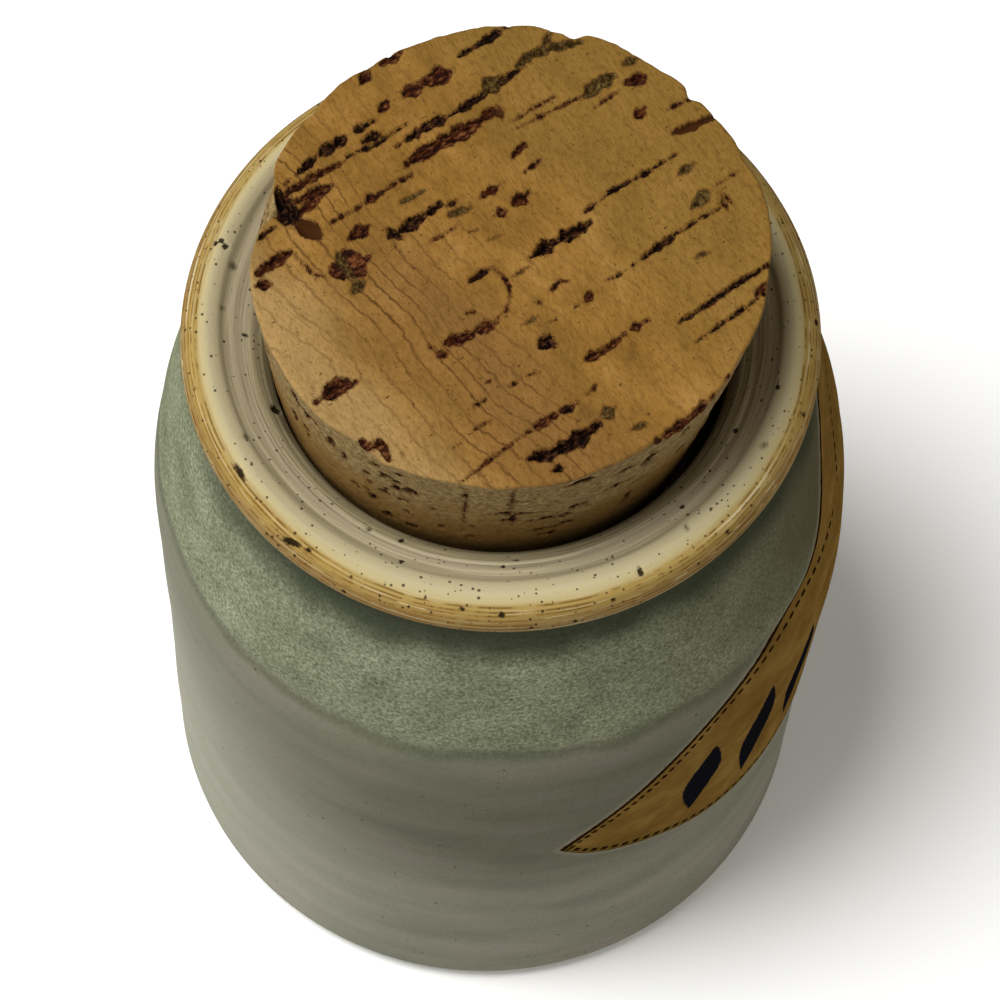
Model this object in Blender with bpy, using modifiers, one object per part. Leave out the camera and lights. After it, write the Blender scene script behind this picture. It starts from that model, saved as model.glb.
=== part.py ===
"""Stoneware storage jar with a natural cork stopper, as a Blender 4.5 model.

The jar is thrown on a wheel: a straight body on a flat foot, a soft shoulder and a
rounded collar with turning lines, whose mouth runs in like a funnel to the seat of
the stopper. Below the stopper the jar is solid, because a shut jar can't be seen into.
The stopper is a tapered plug of natural cork with sunk pores, fissures and a worn edge.

Units are metres, +Z is up, the foot stands on z = 0 and the front faces -Y.
"""

import math

import bmesh
import bpy

# One millimetre
MM = 0.001

# Driving sizes of the jar
HEIGHT_TO_COLLAR = 0.1490
FOOT_CORNER = 0.0050
COLLAR_RADIUS = 0.0484
COLLAR_EDGE = 0.0008
CREASE_RADIUS = 0.0412
CREASE_RISE = 0.0018
SEAT_RADIUS = 0.0352
SEAT_DROP = 0.0036
SEAT_TAPER = 0.06
JAR_STEPS = 72

# Outline of the funnel, from the seat to the crease: shares of its width and of its rise
FUNNEL_LINE = [(0.0, 0.0), (0.18, 0.32), (0.52, 0.66), (0.85, 0.91), (1.0, 1.0)]

# Outline of the collar's crown: radius beyond the crease, and height above the collar's edge, in millimetres
CROWN_LINE = [(0.3, 2.05), (1.6, 3.10), (3.2, 3.70), (4.4, 3.45)]

# Outline of the shoulder: radius, and drop below the collar's edge, in millimetres
SHOULDER_LINE = [
    (46.6, 1.6), (46.9, 3.6), (49.2, 11.5), (51.5, 21.5),
    (53.8, 31.5), (54.5, 36.8), (55.4, 41.8), (55.9, 48.0),
]

# Outline of the body: radius, and height above the foot, in millimetres
BODY_LINE = [(56.2, 85.0), (56.0, 65.0), (55.8, 45.0), (55.8, 25.0), (55.9, 5.0)]

# The turning lines of the collar's outer side: how far in from its edge, and height above it
COLLAR_LINES = [
    (2.00, 3.25), (1.45, 3.00), (1.25, 2.50), (0.75, 2.25), (0.58, 1.70), (0.16, 1.40), (0.04, 0.70),
]

# A hand-thrown jar leans by a hair: how far its axis lies to the right at the foot, belly and collar
LEAN_FOOT = -0.00110
LEAN_BELLY = 0.00105
LEAN_COLLAR = 0.00075
BELLY_HEIGHT = 0.095

# Driving sizes of the stopper
STOPPER_TOP_HEIGHT = 0.1770
STOPPER_TOP_RADIUS = 0.0377
STOPPER_BOTTOM_HEIGHT = 0.1300
STOPPER_BOTTOM_RADIUS = 0.0324
STOPPER_EDGE = 0.0005
STOPPER_BASE_IN = 0.0008
STOPPER_BASE_UP = 0.0006
STOPPER_TOP_RING = 0.01885
STOPPER_OFFSET = -0.00077
STOPPER_TILT = math.radians(3.2)
STOPPER_TOP_SLOPE = 0.05
STOPPER_STEPS = 72

# Room between the stopper and the floor of its seat
GAP = 0.0003

# The grain's pores run across the stopper's top at this angle from +X
GRAIN_ANGLE = math.radians(33)

# Fissures in the stopper's top: centre x and y, length, width, depth, turn off the grain
FISSURES = [
    (7.6, 1.8, 11.0, 2.0, 2.2, 0),
    (17.5, 11.0, 15.0, 0.7, 1.0, 3),
    (20.5, 0.2, 15.0, 0.8, 1.0, 4),
    (30.5, -7.2, 14.0, 0.8, 1.2, 1),
    (32.0, -11.0, 12.5, 0.7, 1.0, 3),
    (-10.5, 17.8, 10.5, 2.0, 1.6, 0),
    (-4.0, 22.6, 5.0, 1.8, 1.4, 0),
    (-12.0, 20.8, 12.0, 1.0, 1.3, -2),
    (2.0, 31.2, 13.0, 1.4, 1.2, 6),
    (-27.5, 15.8, 16.0, 1.4, 1.6, 5),
    (-26.5, 11.8, 10.0, 1.4, 1.4, 0),
    (-13.6, 5.2, 8.0, 1.5, 1.8, 2),
    (-22.0, 2.6, 4.5, 1.9, 1.2, 0),
    (-12.0, 28.4, 5.0, 3.0, 0.9, 10),
    (-7.4, -14.5, 5.5, 2.2, 1.6, -6),
    (-3.2, -12.4, 4.0, 1.7, 1.3, 0),
    (0.4, 7.6, 6.0, 1.8, 1.4, 4),
    (-24.4, -21.8, 6.0, 3.0, 1.3, 8),
    (8.6, -31.2, 11.0, 2.4, 2.4, -3),
    (7.3, -34.7, 2.2, 1.5, 1.8, -10),
    (5.4, -15.0, 2.4, 2.0, 1.8, 0),
    (-4.6, -4.2, 2.8, 1.8, 1.6, 0),
    (15.3, -14.4, 10.0, 1.1, 1.2, 1),
    (6.8, -27.0, 9.0, 1.0, 1.1, 0),
    (-2.0, -33.4, 10.0, 0.6, 0.8, 6),
    (26.5, 20.6, 7.5, 1.8, 0.9, -12),
]

# Chips out of the stopper's top edge: angle, how far in from the edge, width, depth
CHIPS = [
    (166, 3.4, 5.5, 5.0),
    (180, 1.6, 6.0, 2.4),
    (44, 1.0, 3.2, 3.0),
    (24, 0.9, 3.4, 2.4),
    (76, 1.1, 3.0, 2.6),
    (113, 0.7, 4.0, 1.8),
    (143, 0.7, 4.0, 1.6),
    (233, 1.4, 7.0, 2.2),
    (313, 1.5, 13.0, 1.8),
    (331, 1.0, 7.0, 1.4),
]

# Flats where the stopper's top outline was sanded in: angle, depth in millimetres, spread in degrees
FLATS = [(42, 0.6, 12), (60, 0.5, 8), (112, 0.3, 5), (143, 0.4, 5), (235, 0.5, 6), (303, 0.6, 10)]


def remove_scene_objects():
    """Empty the scene without closing the file."""
    for item in list(bpy.data.objects):
        bpy.data.objects.remove(item, do_unlink=True)


def new_collection(name):
    """Return a new collection under the scene's own."""
    collection = bpy.data.collections.new(name)
    bpy.context.scene.collection.children.link(collection)
    return collection


def linear(hex_colour):
    """Turn an sRGB hex colour to linear red, green, blue and alpha."""
    values = [int(hex_colour[i:i + 2], 16) / 255 for i in (1, 3, 5)]
    return [v / 12.92 if v <= 0.04045 else ((v + 0.055) / 1.055) ** 2.4 for v in values] + [1.0]


def make_material(name, hex_colour, roughness):
    """Return a plain Principled material."""
    material = bpy.data.materials.new(name)
    material.use_nodes = True
    shader = material.node_tree.nodes["Principled BSDF"]
    shader.inputs["Base Color"].default_value = linear(hex_colour)
    shader.inputs["Roughness"].default_value = roughness
    shader.inputs["Metallic"].default_value = 0.0
    return material


def arc(centre, radius, start, end, steps):
    """Points of an arc in the profile's plane, angles in degrees from +X."""
    points = []
    for i in range(steps + 1):
        angle = math.radians(start + (end - start) * i / steps)
        points.append((centre[0] + radius * math.cos(angle), centre[1] + radius * math.sin(angle)))
    return points


def smooth_line(keys, per_span):
    """Points of a smooth curve through the key points (a Catmull-Rom spline)."""
    ends = [keys[0]] + list(keys) + [keys[-1]]
    points = []
    for a, b, c, d in zip(ends, ends[1:], ends[2:], ends[3:]):
        for i in range(per_span):
            t = i / per_span
            points.append(tuple(
                0.5 * (2 * q + (r - p) * t + (2 * p - 5 * q + 4 * r - s) * t ** 2
                       + (3 * q - p - 3 * r + s) * t ** 3)
                for p, q, r, s in zip(a, b, c, d)))
    points.append(tuple(keys[-1]))
    return points


def turned(name, profile, steps, collection):
    """Turn a profile round Z with a Screw modifier and return it as a plain mesh object."""
    mesh = bpy.data.meshes.new(name + "_profile")
    edges = [(i, i + 1) for i in range(len(profile) - 1)]
    mesh.from_pydata([(r, 0.0, z) for r, z in profile], edges, [])
    guide = bpy.data.objects.new(name + "_profile", mesh)
    collection.objects.link(guide)
    screw = guide.modifiers.new("Turning", "SCREW")
    screw.axis = "Z"
    screw.angle = math.tau
    screw.steps = steps
    screw.render_steps = steps
    screw.use_merge_vertices = True
    screw.merge_threshold = 0.00001
    screw.use_normal_calculate = False
    depsgraph = bpy.context.evaluated_depsgraph_get()
    solid_mesh = bpy.data.meshes.new_from_object(guide.evaluated_get(depsgraph))
    bpy.data.objects.remove(guide, do_unlink=True)
    solid_mesh.name = name
    solid = bpy.data.objects.new(name, solid_mesh)
    collection.objects.link(solid)
    return solid


def mouth_profile():
    """The inside, from the floor under the stopper up the seat and funnel to the crease."""
    seat_height = HEIGHT_TO_COLLAR - SEAT_DROP
    floor_height = STOPPER_BOTTOM_HEIGHT - GAP
    floor_radius = SEAT_RADIUS - SEAT_TAPER * (seat_height - floor_height)
    crease_height = HEIGHT_TO_COLLAR + CREASE_RISE
    width = CREASE_RADIUS - SEAT_RADIUS
    rise = crease_height - seat_height
    funnel = [(SEAT_RADIUS + across * width, seat_height + up * rise) for across, up in FUNNEL_LINE]
    return [(0.0, floor_height), (floor_radius, floor_height)] + smooth_line(funnel, 2)


def collar_profile():
    """The rounded collar from the crease over the top and down its turned outer side."""
    base = HEIGHT_TO_COLLAR
    crown = [(CREASE_RADIUS + beyond * MM, base + height * MM) for beyond, height in CROWN_LINE]
    lines = [(COLLAR_RADIUS - inward * MM, base + height * MM) for inward, height in COLLAR_LINES]
    lower = arc((COLLAR_RADIUS - COLLAR_EDGE, base), COLLAR_EDGE, 0, -84, 4)
    return smooth_line(crown, 3) + lines + lower


def body_profile():
    """The outside from under the collar down the shoulder and body to the foot."""
    shoulder = smooth_line([(r * MM, HEIGHT_TO_COLLAR - drop * MM) for r, drop in SHOULDER_LINE], 2)
    wall = [(r * MM, height * MM) for r, height in BODY_LINE]
    foot_radius = wall[-1][0] - FOOT_CORNER
    corner = arc((foot_radius, FOOT_CORNER), FOOT_CORNER, -14, -90, 5)
    return shoulder + wall + corner + [(0.0, 0.0)]


def ease(value, start, end):
    """Go smoothly from 0 at the start to 1 at the end."""
    share = min(1.0, max(0.0, (value - start) / (end - start)))
    return share * share * (3 - 2 * share)


def lean_offset(height):
    """Sideways place of the jar's axis at a height."""
    to_belly = (LEAN_BELLY - LEAN_FOOT) * ease(height, 0.0, BELLY_HEIGHT)
    to_collar = (LEAN_COLLAR - LEAN_BELLY) * ease(height, BELLY_HEIGHT, HEIGHT_TO_COLLAR)
    return LEAN_FOOT + to_belly + to_collar


def make_jar(collection):
    """The stoneware body in one piece."""
    jar = turned("jar", mouth_profile() + collar_profile() + body_profile(), JAR_STEPS, collection)
    for vertex in jar.data.vertices:
        vertex.co.x += lean_offset(vertex.co.z)
    jar.data.materials.append(make_material("glazed_stoneware", "#7C8675", 0.45))
    jar.data.shade_smooth()
    jar.data.set_sharp_from_angle(angle=math.radians(40))
    return jar


def stopper_profile():
    """The tapered plug, from the middle of its top down its side to the middle of its base."""
    top = STOPPER_TOP_HEIGHT
    bottom = STOPPER_BOTTOM_HEIGHT
    middle = [(0.0, top), (STOPPER_TOP_RING, top)]
    edge = arc((STOPPER_TOP_RADIUS - STOPPER_EDGE, top - STOPPER_EDGE), STOPPER_EDGE, 90, 8, 3)
    side = []
    rows = 5
    for i in range(1, rows + 1):
        share = i / rows
        radius = STOPPER_TOP_RADIUS + (STOPPER_BOTTOM_RADIUS - STOPPER_TOP_RADIUS) * share
        side.append((radius, top + (bottom + STOPPER_BASE_UP - top) * share))
    base = [(STOPPER_BOTTOM_RADIUS - STOPPER_BASE_IN, bottom), (0.0, bottom)]
    return middle + edge + side + base


def top_place(x, y):
    """World place of a point on the stopper's top, x and y from its middle in millimetres."""
    middle = STOPPER_TOP_HEIGHT
    centre = stopper_axis(middle)
    return (centre + x * MM, y * MM, middle + STOPPER_TOP_SLOPE * x * MM)


def stopper_axis(height):
    """Sideways place of the stopper's leaning axis at a height."""
    return STOPPER_OFFSET + math.tan(STOPPER_TILT) * (height - STOPPER_BOTTOM_HEIGHT)


def flat_depth(angle):
    """How far the stopper's outline is sanded in at an angle in degrees."""
    depth = 0.0
    for middle, most, spread in FLATS:
        away = (angle - middle + 180) % 360 - 180
        depth += most * MM * math.exp(-(away / spread) ** 2)
    return depth


def boat_cutter(name, place, size, turn, collection):
    """A long lens, used to sink a fissure or a chip: size is length, width and twice the depth."""
    mesh = bpy.data.meshes.new(name)
    shape = bmesh.new()
    bmesh.ops.create_uvsphere(shape, u_segments=8, v_segments=4, radius=0.5)
    bmesh.ops.scale(shape, vec=size, verts=shape.verts)
    shape.to_mesh(mesh)
    shape.free()
    cutter = bpy.data.objects.new(name, mesh)
    cutter.location = place
    cutter.rotation_euler = (0.0, 0.0, turn)
    cutter.hide_render = True
    cutter.display_type = "WIRE"
    collection.objects.link(cutter)
    return cutter


def make_fissures(collection):
    """Cutters for the open pores and cracks of the top."""
    for number, (x, y, length, width, depth, turn) in enumerate(FISSURES):
        size = (length * MM, width * MM, 2 * depth * MM)
        boat_cutter(f"fissure_{number:02d}", top_place(x, y), size, GRAIN_ANGLE + math.radians(turn), collection)


def make_chips(collection):
    """Cutters for the chips along the top's edge."""
    for number, (angle, inward, width, depth) in enumerate(CHIPS):
        turn = math.radians(angle)
        reach = STOPPER_TOP_RADIUS / MM
        place = top_place(reach * math.cos(turn), reach * math.sin(turn))
        size = (2 * inward * MM, width * MM, 2 * depth * MM)
        boat_cutter(f"chip_{number:02d}", place, size, turn, collection)


def make_stopper(collection, cutters):
    """The natural cork stopper, tilted a little in the mouth, with its pores and chips."""
    stopper = turned("stopper", stopper_profile(), STOPPER_STEPS, collection)
    height = STOPPER_TOP_HEIGHT - STOPPER_BOTTOM_HEIGHT
    for vertex in stopper.data.vertices:
        share = max(0.0, (vertex.co.z - STOPPER_BOTTOM_HEIGHT) / height)
        inset = flat_depth(math.degrees(math.atan2(vertex.co.y, vertex.co.x))) * share
        radius = math.hypot(vertex.co.x, vertex.co.y)
        if radius > inset:
            vertex.co.x *= 1 - inset / radius
            vertex.co.y *= 1 - inset / radius
        vertex.co.z += STOPPER_TOP_SLOPE * vertex.co.x * share
        vertex.co.x += stopper_axis(vertex.co.z)
    make_fissures(cutters)
    make_chips(cutters)
    cut = stopper.modifiers.new("Pores and chips", "BOOLEAN")
    cut.operation = "DIFFERENCE"
    cut.operand_type = "COLLECTION"
    cut.collection = cutters
    cut.solver = "EXACT"
    stopper.data.materials.append(make_material("natural_cork", "#A0763E", 0.85))
    stopper.data.shade_smooth()
    stopper.data.set_sharp_from_angle(angle=math.radians(30))
    return stopper


def main():
    """Build the jar and its stopper."""
    remove_scene_objects()
    pieces = new_collection("stoneware storage jar")
    cutters = new_collection("cutters")
    make_jar(pieces)
    make_stopper(pieces, cutters)


main()
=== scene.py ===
"""Stoneware storage jar with a natural cork stopper, dressed for its picture.

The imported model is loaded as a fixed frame, and both of its nodes are replaced by denser
meshes of the same sizes: a thrown stoneware jar with its turning lines, and a tapered cork
with its pores, fissures and growth lines. Lengths in the tables are millimetres, angles are
degrees from +X about the jar's axis, +Z is up and the side that the camera faces is -Y.
"""

import logging
import math
from collections.abc import Sequence
from dataclasses import dataclass
from enum import Enum

import bmesh
import bpy
import numpy as np
from mathutils import Matrix, Vector


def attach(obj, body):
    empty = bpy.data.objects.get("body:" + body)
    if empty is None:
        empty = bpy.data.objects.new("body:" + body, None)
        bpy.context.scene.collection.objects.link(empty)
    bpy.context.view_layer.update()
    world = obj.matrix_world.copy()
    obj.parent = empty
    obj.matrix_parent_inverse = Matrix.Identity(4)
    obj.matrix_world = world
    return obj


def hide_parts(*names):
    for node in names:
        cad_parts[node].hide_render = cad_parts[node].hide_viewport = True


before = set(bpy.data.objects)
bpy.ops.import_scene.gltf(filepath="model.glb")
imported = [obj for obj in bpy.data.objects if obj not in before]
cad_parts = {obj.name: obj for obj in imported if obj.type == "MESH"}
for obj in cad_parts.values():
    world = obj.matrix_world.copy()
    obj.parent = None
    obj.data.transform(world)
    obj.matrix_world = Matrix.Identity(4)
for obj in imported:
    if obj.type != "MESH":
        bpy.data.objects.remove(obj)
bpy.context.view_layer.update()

LOG = logging.getLogger("storage_jar")

# One millimetre in the scene's metres
MM = 0.001

# Input sockets of the Mix node when it mixes colours
FACTOR, FIRST, SECOND = 0, 6, 7

# Settings of a Mix node for colours, whose result is its third output, and of a soft step
COLOURS = {"out": 2, "data_type": "RGBA"}
SOFT = {"interpolation_type": "SMOOTHSTEP"}

Socket = bpy.types.NodeSocket
Colour = tuple[float, float, float, float]
Line = Sequence[tuple[float, float]]


def linear(hex_colour: str) -> Colour:
    """Turn an sRGB hex colour to linear red, green, blue and alpha.

    Args:
        hex_colour: The colour as "#RRGGBB".

    Returns:
        The four linear values.
    """
    values = [int(hex_colour[i:i + 2], 16) / 255 for i in (1, 3, 5)]
    red, green, blue = (v / 12.92 if v <= 0.04045 else ((v + 0.055) / 1.055) ** 2.4 for v in values)
    return red, green, blue, 1.0


def smooth_step(values: np.ndarray, start: float, end: float) -> np.ndarray:
    """Go smoothly from 0 at the start to 1 at the end.

    Args:
        values: The numbers to map.
        start: Where the result is 0.
        end: Where the result is 1.

    Returns:
        One share for each value.
    """
    share = np.clip((values - start) / (end - start), 0.0, 1.0)
    return share * share * (3 - 2 * share)


def angle_off(angles: np.ndarray, centre: float) -> np.ndarray:
    """Return how far angles lie from a centre, in degrees from -180 to 180."""
    return (angles - centre + 180) % 360 - 180


def ripple(places: np.ndarray, size: float, seed: int, waves: int = 14) -> np.ndarray:
    """A smooth seeded unevenness: a sum of plane waves in random directions.

    Args:
        places: Points as rows of coordinates.
        size: Typical length of one bump, in the points' unit.
        seed: Which unevenness.
        waves: How many waves are added.

    Returns:
        Values of about -1 to 1, one for each point.
    """
    source = np.random.default_rng(seed)
    total = np.zeros(len(places))
    for _ in range(waves):
        direction = source.normal(size=places.shape[1])
        direction /= np.linalg.norm(direction)
        pitch = size * source.uniform(1.2, 3.2)
        total += np.sin(places @ direction * math.tau / pitch + source.uniform(0, math.tau))
    return total / math.sqrt(waves / 2) / 1.6


def smooth_line(keys: Line, spacing: float) -> list[tuple[float, float]]:
    """Points of a smooth curve through key points (a Catmull-Rom spline).

    Args:
        keys: The key points.
        spacing: About how far apart the points are.

    Returns:
        The curve's points, the first and last key among them.
    """
    ends = [keys[0], *keys, keys[-1]]
    points = []
    for a, b, c, d in zip(ends, ends[1:], ends[2:], ends[3:]):
        count = max(1, round(math.dist(b, c) / spacing))
        for i in range(count):
            t = i / count
            points.append(tuple(
                0.5 * (2 * q + (r - p) * t + (2 * p - 5 * q + 4 * r - s) * t ** 2
                       + (3 * q - p - 3 * r + s) * t ** 3)
                for p, q, r, s in zip(a, b, c, d)))
    points.append(tuple(keys[-1]))
    return points


def nearest_on_line(places: np.ndarray, line: Line) -> tuple[np.ndarray, np.ndarray, np.ndarray]:
    """Measure points against a line of straight stretches.

    Args:
        places: Points as rows of two coordinates.
        line: The line's corners.

    Returns:
        The distance to the line, the length along it of its nearest point, and the side
        of the line, which is 1 to its right and -1 to its left.
    """
    best = np.full(len(places), np.inf)
    along = np.zeros(len(places))
    side = np.ones(len(places))
    done = 0.0
    for start, end in zip(line, line[1:]):
        step = np.subtract(end, start)
        length = float(np.hypot(*step))
        offset = places - np.array(start)
        share = np.clip(offset @ step / length ** 2, 0.0, 1.0)
        away = np.linalg.norm(offset - share[:, None] * step, axis=1)
        closer = away < best
        best[closer] = away[closer]
        along[closer] = done + share[closer] * length
        side[closer] = np.where(offset[closer] @ np.array([step[1], -step[0]]) >= 0, 1.0, -1.0)
        done += length
    return best, along, side


def read_points(mesh: bpy.types.Mesh) -> np.ndarray:
    """Read a mesh's vertices.

    Args:
        mesh: The mesh, in metres.

    Returns:
        The vertices in millimetres, one row each.
    """
    values = np.empty(len(mesh.vertices) * 3)
    mesh.vertices.foreach_get("co", values)
    return values.reshape(-1, 3) / MM


def write_points(mesh: bpy.types.Mesh, points: np.ndarray) -> None:
    """Move a mesh's vertices to points in millimetres."""
    mesh.vertices.foreach_set("co", (points * MM).ravel())
    mesh.update()


def store(mesh: bpy.types.Mesh, name: str, values: np.ndarray) -> None:
    """Keep a number, or three, for each vertex as an attribute that the finish reads.

    Args:
        mesh: The mesh.
        name: The attribute's name.
        values: One value or one row of three for each vertex.
    """
    if values.ndim == 1:
        attribute = mesh.attributes.new(name, "FLOAT", "POINT")
        attribute.data.foreach_set("value", values.astype(np.float32))
    else:
        attribute = mesh.attributes.new(name, "FLOAT_VECTOR", "POINT")
        attribute.data.foreach_set("vector", values.astype(np.float32).ravel())


class Recipe:
    """A material, or the light of the surround, while its nodes are being put together."""

    def __init__(self, holder: bpy.types.Material | bpy.types.World) -> None:
        """Start from the plain nodes of a new material or world.

        Args:
            holder: The material or world.
        """
        holder.use_nodes = True
        self.material = holder
        self.tree = holder.node_tree
        self.shader = self.tree.nodes.get("Principled BSDF")

    def add(self, kind: str, feeds: dict | None = None, out: int | str = 0,
            stops: Sequence[tuple[float, str]] = (), **settings: object) -> Socket:
        """Add a node with its settings and links.

        Args:
            kind: The node's type, without its ShaderNode prefix.
            feeds: Input name or number to the value or the socket that feeds it.
            out: Name or number of the output that is wanted.
            stops: Positions and hex colours, for a colour ramp.
            settings: Properties of the node.

        Returns:
            The wanted output.
        """
        node = self.tree.nodes.new("ShaderNode" + kind)
        for name, value in settings.items():
            setattr(node, name, value)
        if stops:
            elements = node.color_ramp.elements
            elements.remove(elements[-1])
            elements[0].position = stops[0][0]
            elements[0].color = linear(stops[0][1])
            for position, colour in stops[1:]:
                elements.new(position).color = linear(colour)
        for key, value in (feeds or {}).items():
            if isinstance(value, Socket):
                self.tree.links.new(value, node.inputs[key])
            else:
                node.inputs[key].default_value = value
        return node.outputs[out]

    def finish(self, colour: Socket, roughness: Socket, height: Socket, distance: float,
               strength: float) -> None:
        """Link the colour, roughness and surface relief to the shader.

        Args:
            colour: Base colour.
            roughness: Roughness from 0 to 1.
            height: Relief as a height from 0 to 1.
            distance: The relief's full height in metres.
            strength: How far the relief counts.
        """
        relief = self.add("Bump", {"Height": height, "Distance": distance, "Strength": strength},
                          out="Normal")
        self.tree.links.new(colour, self.shader.inputs["Base Color"])
        self.tree.links.new(roughness, self.shader.inputs["Roughness"])
        self.tree.links.new(relief, self.shader.inputs["Normal"])


def dress(name: str, shape: bmesh.types.BMesh) -> bpy.types.Object:
    """Turn a finished bmesh to an object in the scene.

    Args:
        name: The object's name.
        shape: The bmesh, which is freed.

    Returns:
        The new object, at the origin.
    """
    mesh = bpy.data.meshes.new(name)
    shape.to_mesh(mesh)
    shape.free()
    piece = bpy.data.objects.new(name, mesh)
    bpy.context.scene.collection.objects.link(piece)
    return piece


# The banner painted round the jar's right side

@dataclass(frozen=True)
class Banner:
    """A pointed banner with an arch, painted on the body between stitched borders.

    Its outlines are measured as angle from +X and height above the foot, on its left
    wing. The right wing is the same, mirrored about the centre.
    """

    centre: float = 12.0
    radius: float = 56.0
    upper: Line = (
        (-78.5, 69.0), (-71.9, 79.4), (-65.4, 88.6), (-58.4, 97.4), (-50.6, 105.0), (-41.1, 110.4),
        (-32.3, 114.1), (-26.6, 116.1), (-21.4, 119.7), (-16.1, 125.7), (-10.0, 135.5),
        (-4.2, 140.7), (12.0, 143.5),
    )
    lower: Line = (
        (-78.5, 69.0), (-75.0, 65.6), (-70.0, 63.0), (-65.0, 61.2), (-60.0, 59.4), (-55.0, 57.2),
        (-50.0, 55.2), (-45.0, 54.0), (-38.0, 52.8), (-30.0, 52.0), (-15.0, 51.3), (12.0, 51.0),
    )
    stitch: Line = (
        (-78.0, 67.0), (-73.1, 74.0), (-66.8, 82.3), (-59.9, 91.5), (-52.5, 100.2), (-46.2, 104.8),
        (-38.8, 108.2), (-29.5, 110.9), (-18.5, 111.4), (-11.0, 113.2), (-8.2, 118.4), (-4.8, 123.0),
        (-1.1, 127.0), (4.0, 130.5), (12.0, 132.0),
    )
    lozenge_count: int = 6
    lozenge_pitch: float = 12.6
    lozenge_height: float = 77.0
    lozenge_wide: float = 7.5
    lozenge_tall: float = 33.0
    lozenge_last: float = 0.8
    lozenge_lean: float = 0.12

    def measure(self, angles: np.ndarray, heights: np.ndarray) -> tuple[np.ndarray, np.ndarray]:
        """Measure places on the jar against the banner's outlines.

        Args:
            angles: Angles of the places.
            heights: Heights of the places.

        Returns:
            Rows of how far each place is below the upper line, above the lower line and
            below the stitch line; and rows of the length along each of the three lines.
        """
        arc = math.radians(1) * self.radius
        places = np.column_stack([-np.abs(angle_off(angles, self.centre)) * arc, heights])
        inside, lengths = [], []
        for line, sign in ((self.upper, 1), (self.lower, -1), (self.stitch, 1)):
            flat = [((angle - self.centre) * arc, height) for angle, height in line]
            away, along, side = nearest_on_line(places, smooth_line(flat, 2.0))
            inside.append(away * side * sign)
            lengths.append(along)
        return np.column_stack(inside), np.column_stack(lengths)

    def lozenges(self, angles: np.ndarray, heights: np.ndarray) -> np.ndarray:
        """Measure places against the plain row of slender lozenges, which lean with the wings.

        Args:
            angles: Angles of the places.
            heights: Heights of the places.

        Returns:
            One at a lozenge's middle, zero on its edge, and less outside, to -1.
        """
        arc = math.radians(1) * self.radius
        across = np.abs(angle_off(angles, self.centre)) * arc
        count = self.lozenge_count
        number = np.clip(np.round(across / self.lozenge_pitch), 0, count - 1)
        off = across - number * self.lozenge_pitch
        lean = self.lozenge_lean * (heights - self.lozenge_height) * np.sign(number)
        tall = self.lozenge_tall * np.where(number == count - 1, self.lozenge_last, 1.0)
        return np.clip(1 - np.abs(off + lean) / (self.lozenge_wide / 2)
                       - (np.abs(heights - self.lozenge_height) / (tall / 2)) ** 1.6, -1.0, 1.0)


# The jar

@dataclass(frozen=True)
class GlazeSpot:
    """An iron spot or pit in the glaze: where it is, its sizes and how dark it is."""

    angle: float
    run: float
    length: float
    width: float
    turn: float = 0.0
    depth: float = 0.0
    green: float = 0.0


GLAZE_SPOTS = (
    GlazeSpot(-158.5, 1.6, 1.5, 2.4, 0, 0.5), GlazeSpot(-146.5, 13.4, 3.0, 0.9, 4, 0.3),
    GlazeSpot(-130.0, 14.9, 3.6, 1.3, -22, 0.4), GlazeSpot(-126.5, 14.1, 1.6, 0.7, -35, 0.2),
    GlazeSpot(-119.5, 4.8, 1.0, 1.9, 0, 0.2, 0.5), GlazeSpot(-112.0, 3.9, 0.9, 1.4, 0, 0.2),
    GlazeSpot(-88.5, 5.9, 0.8, 1.1, 0, 0.2), GlazeSpot(-85.5, 4.1, 1.3, 1.1, 0, 0.2, 0.4),
    GlazeSpot(-177.0, 5.3, 0.7, 1.3, 0, 0.1), GlazeSpot(-182.0, 9.2, 1.3, 1.6, 0, 0.1, 0.9),
    GlazeSpot(-192.0, 8.8, 1.8, 1.9, 0, 0.1, 0.8), GlazeSpot(-152.0, 9.8, 1.8, 1.6, 0, 0.1, 0.8),
    GlazeSpot(-195.5, 11.2, 1.1, 1.1, 0, 0.2), GlazeSpot(-196.8, 12.2, 1.0, 1.0, 0, 0.2),
    GlazeSpot(-196.2, 13.0, 1.0, 0.9, 0, 0.2), GlazeSpot(-109.5, 9.1, 0.8, 1.0, 0, 0.1),
    GlazeSpot(-96.0, 14.2, 1.0, 0.8, 0, 0.2), GlazeSpot(-88.8, 14.8, 1.2, 1.0, 0, 0.2),
    GlazeSpot(-62.2, 12.9, 0.9, 1.5, 0, 0.2), GlazeSpot(-68.6, 15.4, 0.9, 0.8, 0, 0.1),
    GlazeSpot(-44.0, 15.4, 1.0, 0.8, 0, 0.1), GlazeSpot(-47.0, 7.0, 0.9, 0.9, 0, 0.1),
    GlazeSpot(-50.0, 10.9, 1.0, 1.6, 0, 0.1, 0.6), GlazeSpot(-26.5, 11.6, 2.1, 1.4, 20, 0.1, 0.9),
    GlazeSpot(-25.0, 5.7, 0.9, 1.1, 0, 0.1), GlazeSpot(-13.7, 10.2, 1.0, 1.0, 0, 0.2),
    GlazeSpot(-16.5, 15.6, 1.1, 0.9, 0, 0.1), GlazeSpot(2.5, 16.0, 1.3, 1.1, 0, 0.1),
    GlazeSpot(-117.5, 17.4, 0.8, 0.8, 0, 0.1), GlazeSpot(-83.7, 17.4, 0.8, 0.7, 0, 0.1),
    GlazeSpot(-76.0, 17.5, 0.8, 0.8, 0, 0.1), GlazeSpot(-55.8, 17.7, 0.9, 0.6, 0, 0.1),
    GlazeSpot(-103.0, 13.4, 0.6, 0.6), GlazeSpot(-166.0, 14.9, 0.7, 0.7),
    GlazeSpot(-169.5, 15.5, 0.6, 0.7),
)


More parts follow.
